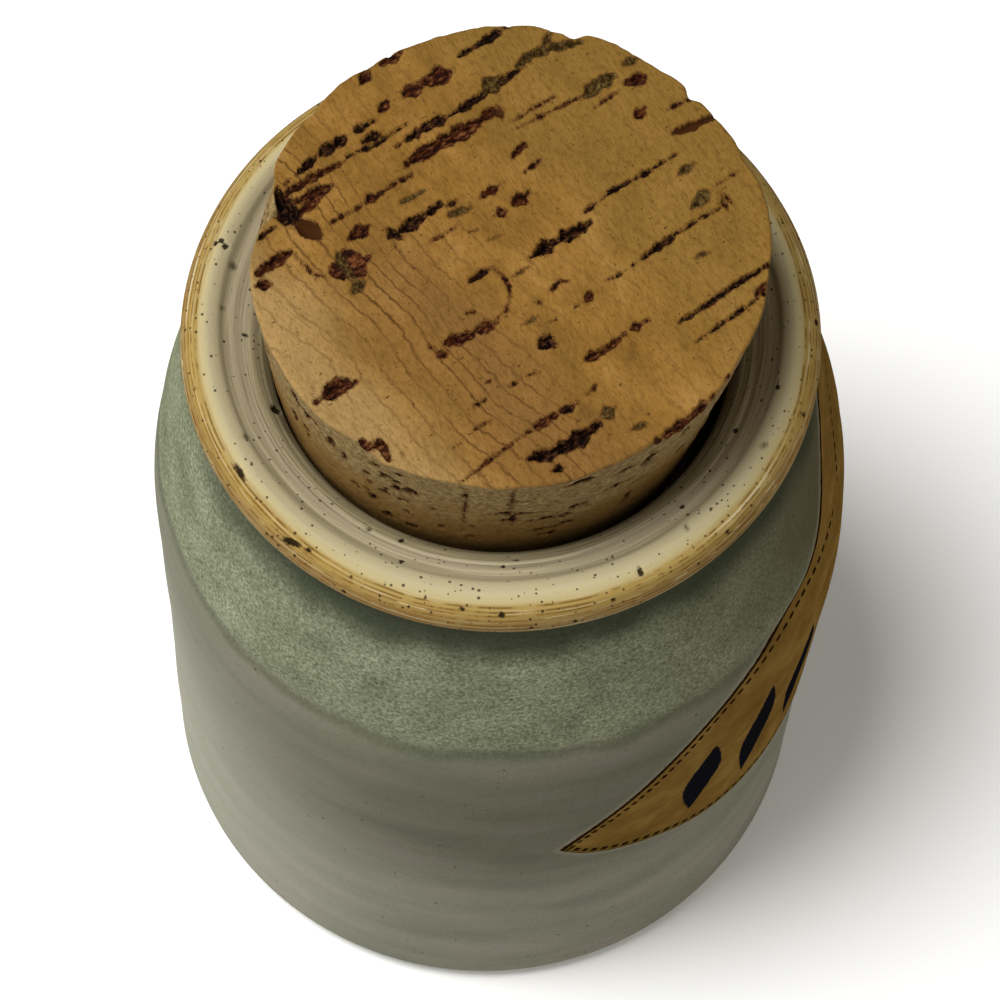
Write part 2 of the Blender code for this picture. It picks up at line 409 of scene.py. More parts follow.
@dataclass
class StonewareJar:
    """The thrown body in one piece, with its turning lines, collar and funnel mouth."""

    collar_height: float = 149.0
    collar_radius: float = 48.4
    crease_radius: float = 41.2
    crease_rise: float = 1.8
    collar_rise: float = 3.7
    seat_radius: float = 35.2
    seat_drop: float = 3.6
    seat_taper: float = 0.06
    floor_height: float = 129.7
    collar_edge: float = 0.8
    foot_corner: float = 5.0
    steps: int = 720
    fine: float = 0.42
    coarse: float = 2.1
    shoulder: Line = (
        (46.6, 1.6), (47.1, 3.6), (49.5, 11.5), (51.6, 21.5), (53.8, 31.5), (54.5, 36.8),
        (55.4, 41.8), (55.9, 48.0),
    )
    wall: Line = ((56.2, 85.0), (56.0, 65.0), (55.8, 45.0), (55.8, 25.0), (55.9, 5.0))
    collar_lines: Line = (
        (2.00, 3.25), (1.45, 3.00), (1.25, 2.50), (0.75, 2.25), (0.58, 1.70), (0.16, 1.40), (0.04, 0.70),
    )
    lean_foot: float = -1.10
    lean_belly: float = 1.05
    lean_collar: float = 0.75
    belly_height: float = 95.0
    mouth_back: float = 1.0
    funnel_end: float = 9.0
    groove_run: float = 9.4
    groove_depth: float = 0.24
    ridge_pitch: float = 1.05
    ridge_depth: float = 0.075
    band_depth: float = 0.13
    break_height: float = 112.5
    break_depth: float = 0.25
    glaze_start: float = 19.5
    spot_radius: float = 35.0
    spot_spread: float = 0.7
    banner: Banner = Banner()

    def arc(self, centre: tuple[float, float], radius: float, start: float, end: float, steps: int) -> Line:
        """Points of an arc in the profile's plane.

        Args:
            centre: The arc's centre.
            radius: Its radius.
            start: First angle in degrees.
            end: Last angle in degrees.
            steps: How many stretches.

        Returns:
            The points.
        """
        angles = [math.radians(start + (end - start) * i / steps) for i in range(steps + 1)]
        return [(centre[0] + radius * math.cos(a), centre[1] + radius * math.sin(a)) for a in angles]

    def mouth(self) -> Line:
        """Profile of the seat and the funnel.

        Returns:
            The points, from the floor under the stopper to the crease.
        """
        seat = self.collar_height - self.seat_drop
        crease = self.collar_height + self.crease_rise
        depth = seat - self.floor_height
        width = self.crease_radius - self.seat_radius
        rise = crease - seat
        wall = [(self.seat_radius - self.seat_taper * depth * (1 - i / 5), self.floor_height + depth * i / 5)
                for i in range(5)]
        keys = [(self.seat_radius + width * a, seat + rise * b)
                for a, b in ((0, 0), (0.18, 0.32), (0.52, 0.66), (0.85, 0.91), (1, 1))]
        return [(0.0, self.floor_height), *wall, *smooth_line(keys, self.fine)]

    def collar(self) -> Line:
        """Profile of the rounded collar.

        Returns:
            The points, over its crown and down its turned outer side.
        """
        base = self.collar_height
        crown = [
            (self.crease_radius + 0.3, base + self.crease_rise + 0.25),
            (self.crease_radius + 1.6, base + self.collar_rise - 0.6),
            (self.crease_radius + 3.2, base + self.collar_rise),
            (self.collar_radius - 2.8, base + self.collar_rise - 0.25),
        ]
        lines = [(self.collar_radius - inward, base + height) for inward, height in self.collar_lines]
        lower = self.arc((self.collar_radius - self.collar_edge, base), self.collar_edge, 0, -84, 5)
        return [*smooth_line(crown, self.fine)[:-1], *smooth_line([crown[-1], *lines], self.fine), *lower]

    def body(self) -> Line:
        """Profile of the shoulder, the wall, the rounded corner and the foot.

        Returns:
            The points, from under the collar to the middle of the foot.
        """
        shoulder = [(radius, self.collar_height - drop) for radius, drop in self.shoulder]
        foot = self.wall[-1][0] - self.foot_corner
        corner = self.arc((foot, self.foot_corner), self.foot_corner, -14, -90, 6)
        side = smooth_line([*shoulder, *self.wall], self.coarse)
        return [*side, *corner, (foot * 0.6, 0.0), (0.0, 0.0)]

    def lean(self, heights: np.ndarray) -> np.ndarray:
        """How far the jar's axis lies to the right.

        Args:
            heights: Height of each place.

        Returns:
            The axis's place at each height.
        """
        low = smooth_step(heights, 0.0, self.belly_height)
        high = smooth_step(heights, self.belly_height, self.collar_height)
        to_belly = (self.lean_belly - self.lean_foot) * low
        to_collar = (self.lean_collar - self.lean_belly) * high
        return self.lean_foot + to_belly + to_collar

    def turn(self) -> bmesh.types.BMesh:
        """Spin the profile to a closed solid that keeps each point's run along the profile.

        Returns:
            The bmesh, in metres, with a vertex layer named run in millimetres from the
            seat's upper edge outwards.
        """
        mouth = self.mouth()
        profile = [*mouth, *self.collar(), *self.body()]
        lengths = np.concatenate([[0.0], np.cumsum([math.dist(a, b) for a, b in zip(profile, profile[1:])])])
        start = math.dist(mouth[0], mouth[1]) + (self.collar_height - self.seat_drop - self.floor_height)
        shape = bmesh.new()
        run = shape.verts.layers.float.new("run")
        points = []
        for (radius, height), length in zip(profile, lengths):
            vertex = shape.verts.new((radius * MM, 0.0, height * MM))
            vertex[run] = length - start
            points.append(vertex)
        edges = [shape.edges.new(pair) for pair in zip(points, points[1:])]
        bmesh.ops.spin(shape, geom=points + edges, cent=(0, 0, 0), axis=(0, 0, 1), angle=math.tau / 4,
                       steps=self.steps // 4)
        bmesh.ops.remove_doubles(shape, verts=shape.verts, dist=0.002 * MM)
        for axis in ("X", "Y"):
            bmesh.ops.mirror(shape, geom=[*shape.verts, *shape.edges, *shape.faces], axis=axis,
                             merge_dist=0.002 * MM)
        bmesh.ops.recalc_face_normals(shape, faces=shape.faces)
        return shape

    def relief(self, angles: np.ndarray, heights: np.ndarray, run: np.ndarray) -> np.ndarray:
        """Height of the hand-thrown unevenness over the plain turned form.

        Args:
            angles: Angle of each place.
            heights: Height of each place.
            run: Length along the profile of each place.

        Returns:
            Millimetres outwards.
        """
        turn = np.radians(angles)
        around = np.column_stack([3 * np.cos(turn), 3 * np.sin(turn), run * 0.2])
        drift = ripple(around, 3.0, 11)
        rings = ripple(np.column_stack([2 * np.cos(turn), 2 * np.sin(turn), run]), 0.75, 12)
        funnel = 0.055 * rings * smooth_step(run, 0.5, 2.5) * (1 - smooth_step(run, 8.6, self.groove_run))
        groove = -self.groove_depth * np.exp(-((run - self.groove_run - 0.2 * drift) / 0.40) ** 2)
        tight = np.sin(math.tau * (run / self.ridge_pitch + 0.5 * drift)) + 0.6 * rings
        turned = smooth_step(run, 13.4, 14.6) * (1 - smooth_step(run, 18.0, 19.0))
        ridges = self.ridge_depth * tight * turned
        outside = smooth_step(run, 20.0, 24.0) * smooth_step(heights, 0.5, 6.0)
        slow = np.column_stack([6 * np.cos(turn), 6 * np.sin(turn), heights * 0.75])
        bands = self.band_depth * ripple(slow, 6.0, 23) * outside
        line = np.exp(-((heights - self.break_height - 0.8 * drift) / 1.6) ** 2)
        step = -self.break_depth * line * outside
        return funnel + groove + ridges + bands + step

    def spots(self, angles: np.ndarray, run: np.ndarray) -> tuple[np.ndarray, np.ndarray, np.ndarray]:
        """Measure places against the larger iron spots.

        Args:
            angles: Angle of each place.
            run: Length along the profile of each place.

        Returns:
            How far inside a spot each place is, the spot's greenness, and how deep it is sunk.
        """
        inside = np.full(len(angles), -1.0)
        green = np.zeros(len(angles))
        sunk = np.zeros(len(angles))
        for spot in GLAZE_SPOTS:
            radius = self.spot_radius + self.spot_spread * spot.run
            across = angle_off(angles, spot.angle) * math.radians(1) * radius
            down = run - spot.run
            turn = math.radians(spot.turn)
            one = (across * math.cos(turn) + down * math.sin(turn)) / (spot.length / 2)
            two = (down * math.cos(turn) - across * math.sin(turn)) / (spot.width / 2)
            reach = (1 - np.hypot(one, two)) * min(spot.length, spot.width) / 2
            closer = reach > inside
            inside[closer] = reach[closer]
            green[closer] = spot.green
            sunk = np.maximum(sunk, spot.depth * smooth_step(reach, -0.15, 0.3))
        return inside, green, sunk

    def painted_shade_and_light(self, angles: np.ndarray,
                    heights: np.ndarray) -> tuple[np.ndarray, np.ndarray, np.ndarray]:
        """Measure where the collar's shadow, the right side's shade and the left side's light are painted.

        Args:
            angles: Angle of each place.
            heights: Height of each place.

        Returns:
            How far the collar's shadow, the right side's shade and the left side's light are painted, each
            from 0 to 1.
        """
        turn = np.radians(angles)
        around = np.column_stack([40 * np.cos(turn), 40 * np.sin(turn), heights])
        # Painted shadow of the collar on the shoulder: strongest on the front and right, none on the back
        # left, where the light comes from
        drop = self.collar_height - heights + 1.2 * ripple(around, 5.0, 31)
        back_left = np.abs(angle_off(angles, -215))
        painted_collar_shadow = (1 - smooth_step(drop, 6.0, 12.5)) * smooth_step(back_left, 25.0, 90.0)
        # Painted shade over the right side of the shoulder, which faces away from the light
        right = np.abs(angle_off(angles, 0))
        painted_right_shade = (1 - smooth_step(right, 15.0, 75.0)) * smooth_step(heights, 100.0, 125.0)
        # Painted light on the wall's left side, which faces the light
        left = np.abs(angle_off(angles, -178))
        painted_left_light = (1 - smooth_step(left, 10.0, 90.0)) * (1 - smooth_step(heights, 60.0, 132.0))
        return 0.90 * painted_collar_shadow, 0.92 * painted_right_shade, 0.46 * painted_left_light

    def build(self) -> bpy.types.Object:
        """Model the jar, store what its glaze reads, and dress it.

        Returns:
            The jar's object.
        """
        piece = dress("thrown_jar", self.turn())
        mesh = piece.data
        points = read_points(mesh)
        run = np.empty(len(points))
        mesh.attributes["run"].data.foreach_get("value", run)
        angles = np.degrees(np.arctan2(points[:, 1], points[:, 0]))
        heights = points[:, 2].copy()
        normals = np.empty(len(points) * 3)
        mesh.vertex_normals.foreach_get("vector", normals)
        inside, green, sunk = self.spots(angles, run)
        shown = run > -2.0
        out = np.where(shown, self.relief(angles, heights, run) - sunk, 0.0)
        out *= smooth_step(heights, 0.0, 1.0)
        points += normals.reshape(-1, 3) * out[:, None]
        points[:, 0] += self.lean(heights)
        points[:, 1] += self.mouth_back * (1 - smooth_step(run, self.funnel_end, 14.0))
        write_points(mesh, points)
        banner, lengths = self.banner.measure(angles, heights)
        outer = run > self.glaze_start
        painted_collar_shadow, painted_right_shade, painted_left_light = self.painted_shade_and_light(angles, heights)
        store(mesh, "banner", np.where(outer[:, None], banner, -20.0))
        store(mesh, "banner_length", lengths)
        store(mesh, "lozenge", np.where(outer, self.banner.lozenges(angles, heights), -1.0))
        # Painted shadow under the collar, painted shade on the right and painted light on the left
        store(mesh, "painted_collar_shadow", np.where(outer, painted_collar_shadow, 0.0))
        store(mesh, "painted_right_shade", np.where(outer, painted_right_shade, 0.0))
        store(mesh, "painted_left_light", painted_left_light)
        store(mesh, "spot", np.column_stack([np.maximum(inside, -1.0), green, np.zeros(len(green))]))
        mesh.shade_smooth()
        mesh.materials.append(StonewareGlaze().material())
        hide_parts("jar")
        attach(piece, "root")
        return piece


@dataclass(frozen=True)
class StonewareGlaze:
    """Glazed stoneware: an iron-speckled clay under a satin glaze, fired in a kiln.

    The clay's iron bleeds through as brown specks, the glaze breaks cream to ochre over
    the collar's edges, and lies as a mottled matt sage over the shoulder and as a calmer
    grey over the wall. Painted shade darkens it under the collar and to olive brown on the
    right, and painted light makes the wall's left side paler.
    The photograph shows no reflection in it, so its specular level is 0. The sizes of
    its patterns are millimetres.
    """

    roughness_satin: float = 0.40
    roughness_matt: float = 0.62
    ior: float = 1.5
    specular: float = 0.0
    ochre_lines: tuple[float, ...] = (13.7, 14.4, 15.1, 15.9, 16.8, 17.6)
    stitch_pitch: float = 2.1
    drift_size: float = 18.0
    ochre_size: float = 2.6
    speck_pitch: float = 0.85
    grain_size: float = 0.6
    cloud_size: float = 9.0
    meeting_size: float = 12.0
    brush_size: float = 1.1
    patch_size: float = 7.0
    pit_size: float = 0.45
    creep_size: float = 1.6

    def collar_colour(self, recipe: Recipe, place: Socket, run: Socket) -> Socket:
        """Colour of the funnel and the collar, with the streaks that the turning left and painted shade by
        the seat and in the crease.

        Args:
            recipe: The glaze's recipe.
            place: Object coordinates in millimetres.
            run: Length along the profile from the seat's upper edge.

        Returns:
            The colour.
        """
        drift = recipe.add("TexNoise", {"Vector": place, "Scale": 1 / self.drift_size, "Detail": 2.0})
        wander = recipe.add("MapRange", {"Value": drift, "To Min": -0.5, "To Max": 0.5})
        level = recipe.add("Math", {0: run, 1: wander}, operation="ADD")
        share = recipe.add("Math", {0: level, 1: 20.0}, operation="DIVIDE")
        # The dark stops at the seat's edge and at the crease are painted shade; the rest is the glaze's own
        # colour
        base = recipe.add("ValToRGB", {"Fac": share}, stops=(
            (0.0, "#6A6044"), (0.06, "#8A8062"), (0.22, "#A09474"), (0.27, "#C2B798"), (0.29, "#A0947A"),
            (0.42, "#A99D80"), (0.465, "#857B5F"), (0.50, "#A69B7C"), (0.60, "#AEA380"), (0.65, "#AA9C72"),
            (0.685, "#98824C"), (0.76, "#927A44"), (0.82, "#846E42"), (0.88, "#826E48"), (0.95, "#705E40"),
            (1.0, "#545240")))
        around = recipe.add("VectorMath", {0: place, 1: (24.0, 24.0, 1.0e9)}, operation="DIVIDE")
        down = recipe.add("CombineXYZ", {"Z": recipe.add("Math", {0: run, 1: 0.45}, operation="DIVIDE")})
        thread = recipe.add("VectorMath", {0: around, 1: down}, operation="ADD")
        streaks = recipe.add("TexNoise", {"Vector": thread, "Scale": 1.0, "Detail": 3.0, "Roughness": 0.65})
        contrast = recipe.add("ValToRGB", {"Fac": share}, stops=(
            (0.0, "#F4F4F4"), (0.40, "#C8C8C8"), (0.50, "#505050"), (0.64, "#606060"), (0.70, "#F0F0F0"),
            (1.0, "#C8C8C8")))
        dark = recipe.add("MapRange", {"Value": streaks, "From Min": 0.50, "From Max": 0.68}, **SOFT)
        dark = recipe.add("Math", {0: dark, 1: contrast}, operation="MULTIPLY")
        deep = recipe.add("ValToRGB", {"Fac": share}, stops=(
            (0.0, "#5E553A"), (0.5, "#7A7052"), (0.70, "#8A6B30"), (0.85, "#6E4E26"), (1.0, "#5A4A30")))
        colour = recipe.add("Mix", {FACTOR: dark, FIRST: base, SECOND: deep}, **COLOURS)
        pale = recipe.add("MapRange", {"Value": streaks, "From Min": 0.46, "From Max": 0.30}, **SOFT)
        pale = recipe.add("Math", {0: pale, 1: contrast}, operation="MULTIPLY")
        colour = recipe.add("Mix", {FACTOR: pale, FIRST: colour, SECOND: linear("#BDB191")}, **COLOURS)
        return self.ochre(recipe, place, level, colour)

    def ochre(self, recipe: Recipe, place: Socket, level: Socket, colour: Socket) -> Socket:
        """Draw the broken ochre lines where the glaze runs thin over the turning ridges.

        Args:
            recipe: The glaze's recipe.
            place: Object coordinates in millimetres.
            level: Length along the profile, which wanders a little.
            colour: Colour of the collar.

        Returns:
            The colour with its lines.
        """
        broken = recipe.add("TexNoise", {"Vector": place, "Scale": 1 / self.ochre_size, "Detail": 3.0})
        keep = recipe.add("MapRange", {"Value": broken, "From Min": 0.38, "From Max": 0.58}, **SOFT)
        for line in self.ochre_lines:
            off = recipe.add("Math", {0: level, 1: line}, operation="SUBTRACT")
            off = recipe.add("Math", {0: off}, operation="ABSOLUTE")
            near = recipe.add("MapRange", {"Value": off, "From Min": 0.24, "From Max": 0.03, "To Max": 0.8},
                              **SOFT)
            near = recipe.add("Math", {0: near, 1: keep}, operation="MULTIPLY")
            colour = recipe.add("Mix", {FACTOR: near, FIRST: colour, SECOND: linear("#64441A")}, **COLOURS)
        return colour

    def specks(self, recipe: Recipe, place: Socket, run: Socket, colour: Socket) -> Socket:
        """Scatter iron specks of 0.2 to 0.6 mm, dense on the collar and sparse on the wall.

        Args:
            recipe: The glaze's recipe.
            place: Object coordinates in millimetres.
            run: Length along the profile from the seat's upper edge.
            colour: Colour of the glaze.

        Returns:
            The colour with its specks.
        """
        cells = recipe.add("TexVoronoi", {"Vector": place, "Scale": 1 / self.speck_pitch}, out="Distance")
        luck = recipe.add("SeparateColor", {0: cells.node.outputs["Color"]})
        share = recipe.add("Math", {0: run, 1: 30.0}, operation="DIVIDE")
        density = recipe.add("ValToRGB", {"Fac": share}, stops=(
            (0.0, "#C4C4C4"), (0.30, "#C4C4C4"), (0.40, "#F4F4F4"), (0.60, "#F4F4F4"), (0.66, "#5A5A5A"),
            (1.0, "#383838")))
        start = recipe.add("MapRange", {"Value": density, "To Min": 1.0, "To Max": 0.35})
        size = recipe.add("MapRange", {"Value": luck, "From Min": start, "From Max": 1.0, "To Max": 0.32})
        reach = recipe.add("Math", {0: size, 1: cells}, operation="SUBTRACT")
        speck = recipe.add("MapRange", {"Value": reach, "From Min": -0.05, "From Max": 0.07, "To Max": 0.85},
                           **SOFT)
        present = recipe.add("Math", {0: size, 1: 0.03}, operation="GREATER_THAN")
        speck = recipe.add("Math", {0: speck, 1: present}, operation="MULTIPLY")
        return recipe.add("Mix", {FACTOR: speck, FIRST: colour, SECOND: linear("#33261A")}, **COLOURS)

    def sage_colour(self, recipe: Recipe, place: Socket, grain: Socket) -> Socket:
        """Colour of the mottled matt glaze on the shoulder.

        Args:
            recipe: The glaze's recipe.
            place: Object coordinates in millimetres.
            grain: Fine noise from 0 to 1.

        Returns:
            The colour.
        """
        sage = recipe.add("ValToRGB", {"Fac": grain}, stops=(
            (0.28, "#535841"), (0.42, "#6C7159"), (0.55, "#81856D"), (0.74, "#9FA28A")))
        cloud = recipe.add("TexNoise", {"Vector": place, "Scale": 1 / self.cloud_size, "Detail": 3.0})
        lift = recipe.add("ValToRGB", {"Fac": cloud}, stops=((0.3, "#D6D6D2"), (0.7, "#FFFFFF")))
        return recipe.add("Mix", {FACTOR: 1.0, FIRST: sage, SECOND: lift}, **COLOURS, blend_type="MULTIPLY")

    def grey_colour(self, recipe: Recipe, place: Socket, grain: Socket, height: Socket) -> Socket:
        """Colour of the calmer glaze on the wall, darker at mid-height and paler towards the foot, with
        painted light on the left.

        Args:
            recipe: The glaze's recipe.
            place: Object coordinates in millimetres.
            grain: Fine noise from 0 to 1.
            height: Height above the foot.

        Returns:
            The colour.
        """
        zones = recipe.add("VectorMath", {0: place, 1: (26.0, 26.0, 11.0)}, operation="DIVIDE")
        blotch = recipe.add("TexNoise", {"Vector": zones, "Scale": 1.0, "Detail": 4.0})
        wall = recipe.add("ValToRGB", {"Fac": blotch}, stops=(
            (0.32, "#797A6C"), (0.50, "#818171"), (0.68, "#8B8479")))
        throw = recipe.add("VectorMath", {0: place, 1: (90.0, 90.0, 9.0)}, operation="DIVIDE")
        rings = recipe.add("TexNoise", {"Vector": throw, "Scale": 1.0, "Detail": 3.0})
        soft = recipe.add("ValToRGB", {"Fac": rings}, stops=((0.32, "#EEEEEB"), (0.62, "#FFFFFF")))
        tooth = recipe.add("ValToRGB", {"Fac": grain}, stops=((0.3, "#EAEAEA"), (0.7, "#FFFFFF")))
        # Darker over the middle of the wall and lighter towards the foot
        share = recipe.add("Math", {0: height, 1: 125.0}, operation="DIVIDE")
        by_height = recipe.add("ValToRGB", {"Fac": share}, stops=(
            (0.24, "#FFFFFF"), (0.38, "#F0F0EF"), (0.50, "#D8D8D5"), (0.60, "#CCCCC8"), (0.74, "#CFCFCA"),
            (0.84, "#D8D8D3"), (0.90, "#E0E0DB")))
        for layer in (soft, tooth, by_height):
            wall = recipe.add("Mix", {FACTOR: 1.0, FIRST: wall, SECOND: layer}, **COLOURS,
                              blend_type="MULTIPLY")
        # Painted light that makes the wall's left side paler
        painted_left_light = recipe.add("Attribute", attribute_name="painted_left_light", out="Fac")
        return recipe.add("Mix", {FACTOR: painted_left_light, FIRST: wall, SECOND: linear("#A4A496")}, **COLOURS)

    def wall_colour(self, recipe: Recipe, place: Socket, height: Socket) -> Socket:
        """Join the sage shoulder to the grey wall with a darker line where they meet, and add painted shade.

        Args:
            recipe: The glaze's recipe.
            place: Object coordinates in millimetres.
            height: Height above the foot.

        Returns:
            The colour outside the collar.
        """
        grain = recipe.add("TexNoise", {"Vector": place, "Scale": 1 / self.grain_size, "Detail": 2.0,
                                        "Roughness": 0.8})
        sage = self.sage_colour(recipe, place, grain)
        wall = self.grey_colour(recipe, place, grain, height)
        edge = recipe.add("TexNoise", {"Vector": place, "Scale": 1 / self.meeting_size, "Detail": 4.0})
        shift = recipe.add("MapRange", {"Value": edge, "To Min": -3.0, "To Max": 3.0})
        level = recipe.add("Math", {0: height, 1: shift}, operation="ADD")
        above = recipe.add("MapRange", {"Value": level, "From Min": 108.5, "From Max": 116.0}, **SOFT)
        colour = recipe.add("Mix", {FACTOR: above, FIRST: wall, SECOND: sage}, **COLOURS)
        off = recipe.add("Math", {0: level, 1: 111.5}, operation="SUBTRACT")
        off = recipe.add("Math", {0: off}, operation="ABSOLUTE")
        line = recipe.add("MapRange", {"Value": off, "From Min": 2.6, "From Max": 0.2, "To Max": 0.42},
                          **SOFT)
        # Painted shadow of the collar, and painted olive-brown shade on the shoulder's right side
        painted_collar_shadow = recipe.add("Attribute", attribute_name="painted_collar_shadow", out="Fac")
        painted_right_shade = recipe.add("Attribute", attribute_name="painted_right_shade", out="Fac")
        for share, tint in ((line, "#454838"), (painted_right_shade, "#4C4635"), (painted_collar_shadow, "#33372A")):
            colour = recipe.add("Mix", {FACTOR: share, FIRST: colour, SECOND: linear(tint)}, **COLOURS)
        return colour

    def borders(self, recipe: Recipe, upper: Socket, lower: Socket, cover: Socket) -> Socket:
        """Draw the banner's dark outlines, the lower one fainter.

        Args:
            recipe: The glaze's recipe.
            upper: Distance below the upper line.
            lower: Distance above the lower line.
            cover: How far the banner covers the glaze.

        Returns:
            The strength of the ink.
        """
        lines = []
        for distance, far, near in ((upper, 1.25, 0.95), (lower, 0.60, 0.40)):
            start = recipe.add("MapRange", {"Value": distance, "From Min": 0.05, "From Max": 0.25}, **SOFT)
            end = recipe.add("MapRange", {"Value": distance, "From Min": far, "From Max": near}, **SOFT)
            line = recipe.add("Math", {0: start, 1: end}, operation="MULTIPLY")
            lines.append(recipe.add("Math", {0: line, 1: cover}, operation="MULTIPLY"))
        faint = recipe.add("Math", {0: lines[1], 1: 0.6}, operation="MULTIPLY")
        return recipe.add("Math", {0: lines[0], 1: faint}, operation="MAXIMUM")

    def stitches(self, recipe: Recipe, distance: Socket, along: Socket, edges: tuple[float, float],
                 masks: Sequence[Socket]) -> Socket:
        """Draw a row of stitch dashes beside a line.

        Args:
            recipe: The glaze's recipe.
            distance: Distance from the line.
            along: Length along the line.
            edges: Where the row starts and ends, as distances from the line.
            masks: What the dashes are kept within.

        Returns:
            The strength of the ink.
        """
        first, last = edges
        beat = recipe.add("Math", {0: along, 1: self.stitch_pitch}, operation="DIVIDE")
        beat = recipe.add("Math", {0: beat}, operation="FRACT")
        dash = recipe.add("MapRange", {"Value": beat, "From Min": 0.14, "From Max": 0.26}, **SOFT)
        fall = recipe.add("MapRange", {"Value": beat, "From Min": 0.86, "From Max": 0.74}, **SOFT)
        start = recipe.add("MapRange", {"Value": distance, "From Min": first, "From Max": first + 0.22},
                           **SOFT)
        end = recipe.add("MapRange", {"Value": distance, "From Min": last, "From Max": last - 0.22}, **SOFT)
        for share in (fall, start, end, *masks):
            dash = recipe.add("Math", {0: dash, 1: share}, operation="MULTIPLY")
        return dash

    def banner_colour(self, recipe: Recipe, place: Socket, ground: Socket) -> Socket:
        """Paint the banner with its stitched borders over the glaze.

        Args:
            recipe: The glaze's recipe.
            place: Object coordinates in millimetres.
            ground: Colour of the glaze under the banner.

        Returns:
            The colour with the banner.
        """
        distances = recipe.add("Attribute", attribute_name="banner", out="Vector")
        distances = recipe.add("SeparateXYZ", {0: distances})
        lengths = recipe.add("Attribute", attribute_name="banner_length", out="Vector")
        lengths = recipe.add("SeparateXYZ", {0: lengths})
        uneven = recipe.add("TexNoise", {"Vector": place, "Scale": 1 / self.brush_size, "Detail": 2.0})
        wobble = recipe.add("MapRange", {"Value": uneven, "To Min": -0.28, "To Max": 0.28})
        upper, lower, stitch = (recipe.add("Math", {0: distances.node.outputs[number], 1: wobble},
                                           operation="ADD") for number in range(3))
        inside = recipe.add("Math", {0: upper, 1: lower}, operation="MINIMUM")
        halo = recipe.add("MapRange", {"Value": inside, "From Min": -1.5, "From Max": -0.1, "To Max": 0.30},
                          **SOFT)
        painted = recipe.add("Mix", {FACTOR: halo, FIRST: ground, SECOND: linear("#8D8876")}, **COLOURS)
        patch = recipe.add("TexNoise", {"Vector": place, "Scale": 1 / self.patch_size, "Detail": 4.0,
                                        "Roughness": 0.6})
        field = recipe.add("ValToRGB", {"Fac": patch}, stops=(
            (0.3, "#5E461F"), (0.5, "#6A5126"), (0.7, "#785E30")))
        cover = recipe.add("MapRange", {"Value": inside, "From Min": -0.15, "From Max": 0.20}, **SOFT)
        painted = recipe.add("Mix", {FACTOR: cover, FIRST: painted, SECOND: field}, **COLOURS)
        olive = recipe.add("MapRange", {"Value": lower, "From Min": 2.9, "From Max": 2.2, "To Max": 0.7},
                           **SOFT)
        olive = recipe.add("Math", {0: olive, 1: cover}, operation="MULTIPLY")
        painted = recipe.add("Mix", {FACTOR: olive, FIRST: painted, SECOND: linear("#5B4A1E")}, **COLOURS)
        ink = self.borders(recipe, upper, lower, cover)
        within = recipe.add("MapRange", {"Value": upper, "From Min": 1.2, "From Max": 1.6}, **SOFT)
        for distance, number, edges in ((stitch, 2, (-0.55, 0.55)), (lower, 1, (0.7, 2.1))):
            dash = self.stitches(recipe, distance, lengths.node.outputs[number], edges, (within, cover))
            ink = recipe.add("Math", {0: ink, 1: dash}, operation="MAXIMUM")
        painted = recipe.add("Mix", {FACTOR: ink, FIRST: painted, SECOND: linear("#1A0D06")}, **COLOURS)
        lozenge = recipe.add("Attribute", attribute_name="lozenge", out="Fac")
        fray = recipe.add("Math", {0: wobble, 1: 0.35}, operation="MULTIPLY")
        brushed = recipe.add("Math", {0: lozenge, 1: fray}, operation="ADD")
        stroke = recipe.add("MapRange", {"Value": brushed, "From Min": -0.03, "From Max": 0.07}, **SOFT)
        return recipe.add("Mix", {FACTOR: stroke, FIRST: painted, SECOND: linear("#101014")}, **COLOURS)

    def spotted(self, recipe: Recipe, place: Socket, colour: Socket) -> Socket:
        """Add the larger iron spots, dark brown or a softer green.

        Args:
            recipe: The glaze's recipe.
            place: Object coordinates in millimetres.
            colour: Colour of the glaze.

        Returns:
            The colour with its spots.
        """
        spot = recipe.add("SeparateXYZ", {0: recipe.add("Attribute", attribute_name="spot", out="Vector")})
        green = spot.node.outputs[1]
        chew = recipe.add("TexNoise", {"Vector": place, "Scale": 1 / self.pit_size, "Detail": 3.0,
                                       "Roughness": 0.65})
        ragged = recipe.add("MapRange", {"Value": chew, "To Min": -0.30, "To Max": 0.30})
        reach = recipe.add("Math", {0: spot, 1: ragged}, operation="ADD")
        full = recipe.add("MapRange", {"Value": green, "To Min": 0.16, "To Max": 0.85})
        most = recipe.add("MapRange", {"Value": green, "To Min": 0.95, "To Max": 0.80})
        inside = recipe.add("MapRange", {"Value": reach, "From Min": -0.12, "From Max": full, "To Max": most},
                            **SOFT)
        iron = recipe.add("Mix", {FACTOR: green, FIRST: linear("#1A110B"), SECOND: linear("#3B3A29")},
                          **COLOURS)
        return recipe.add("Mix", {FACTOR: inside, FIRST: colour, SECOND: iron}, **COLOURS)

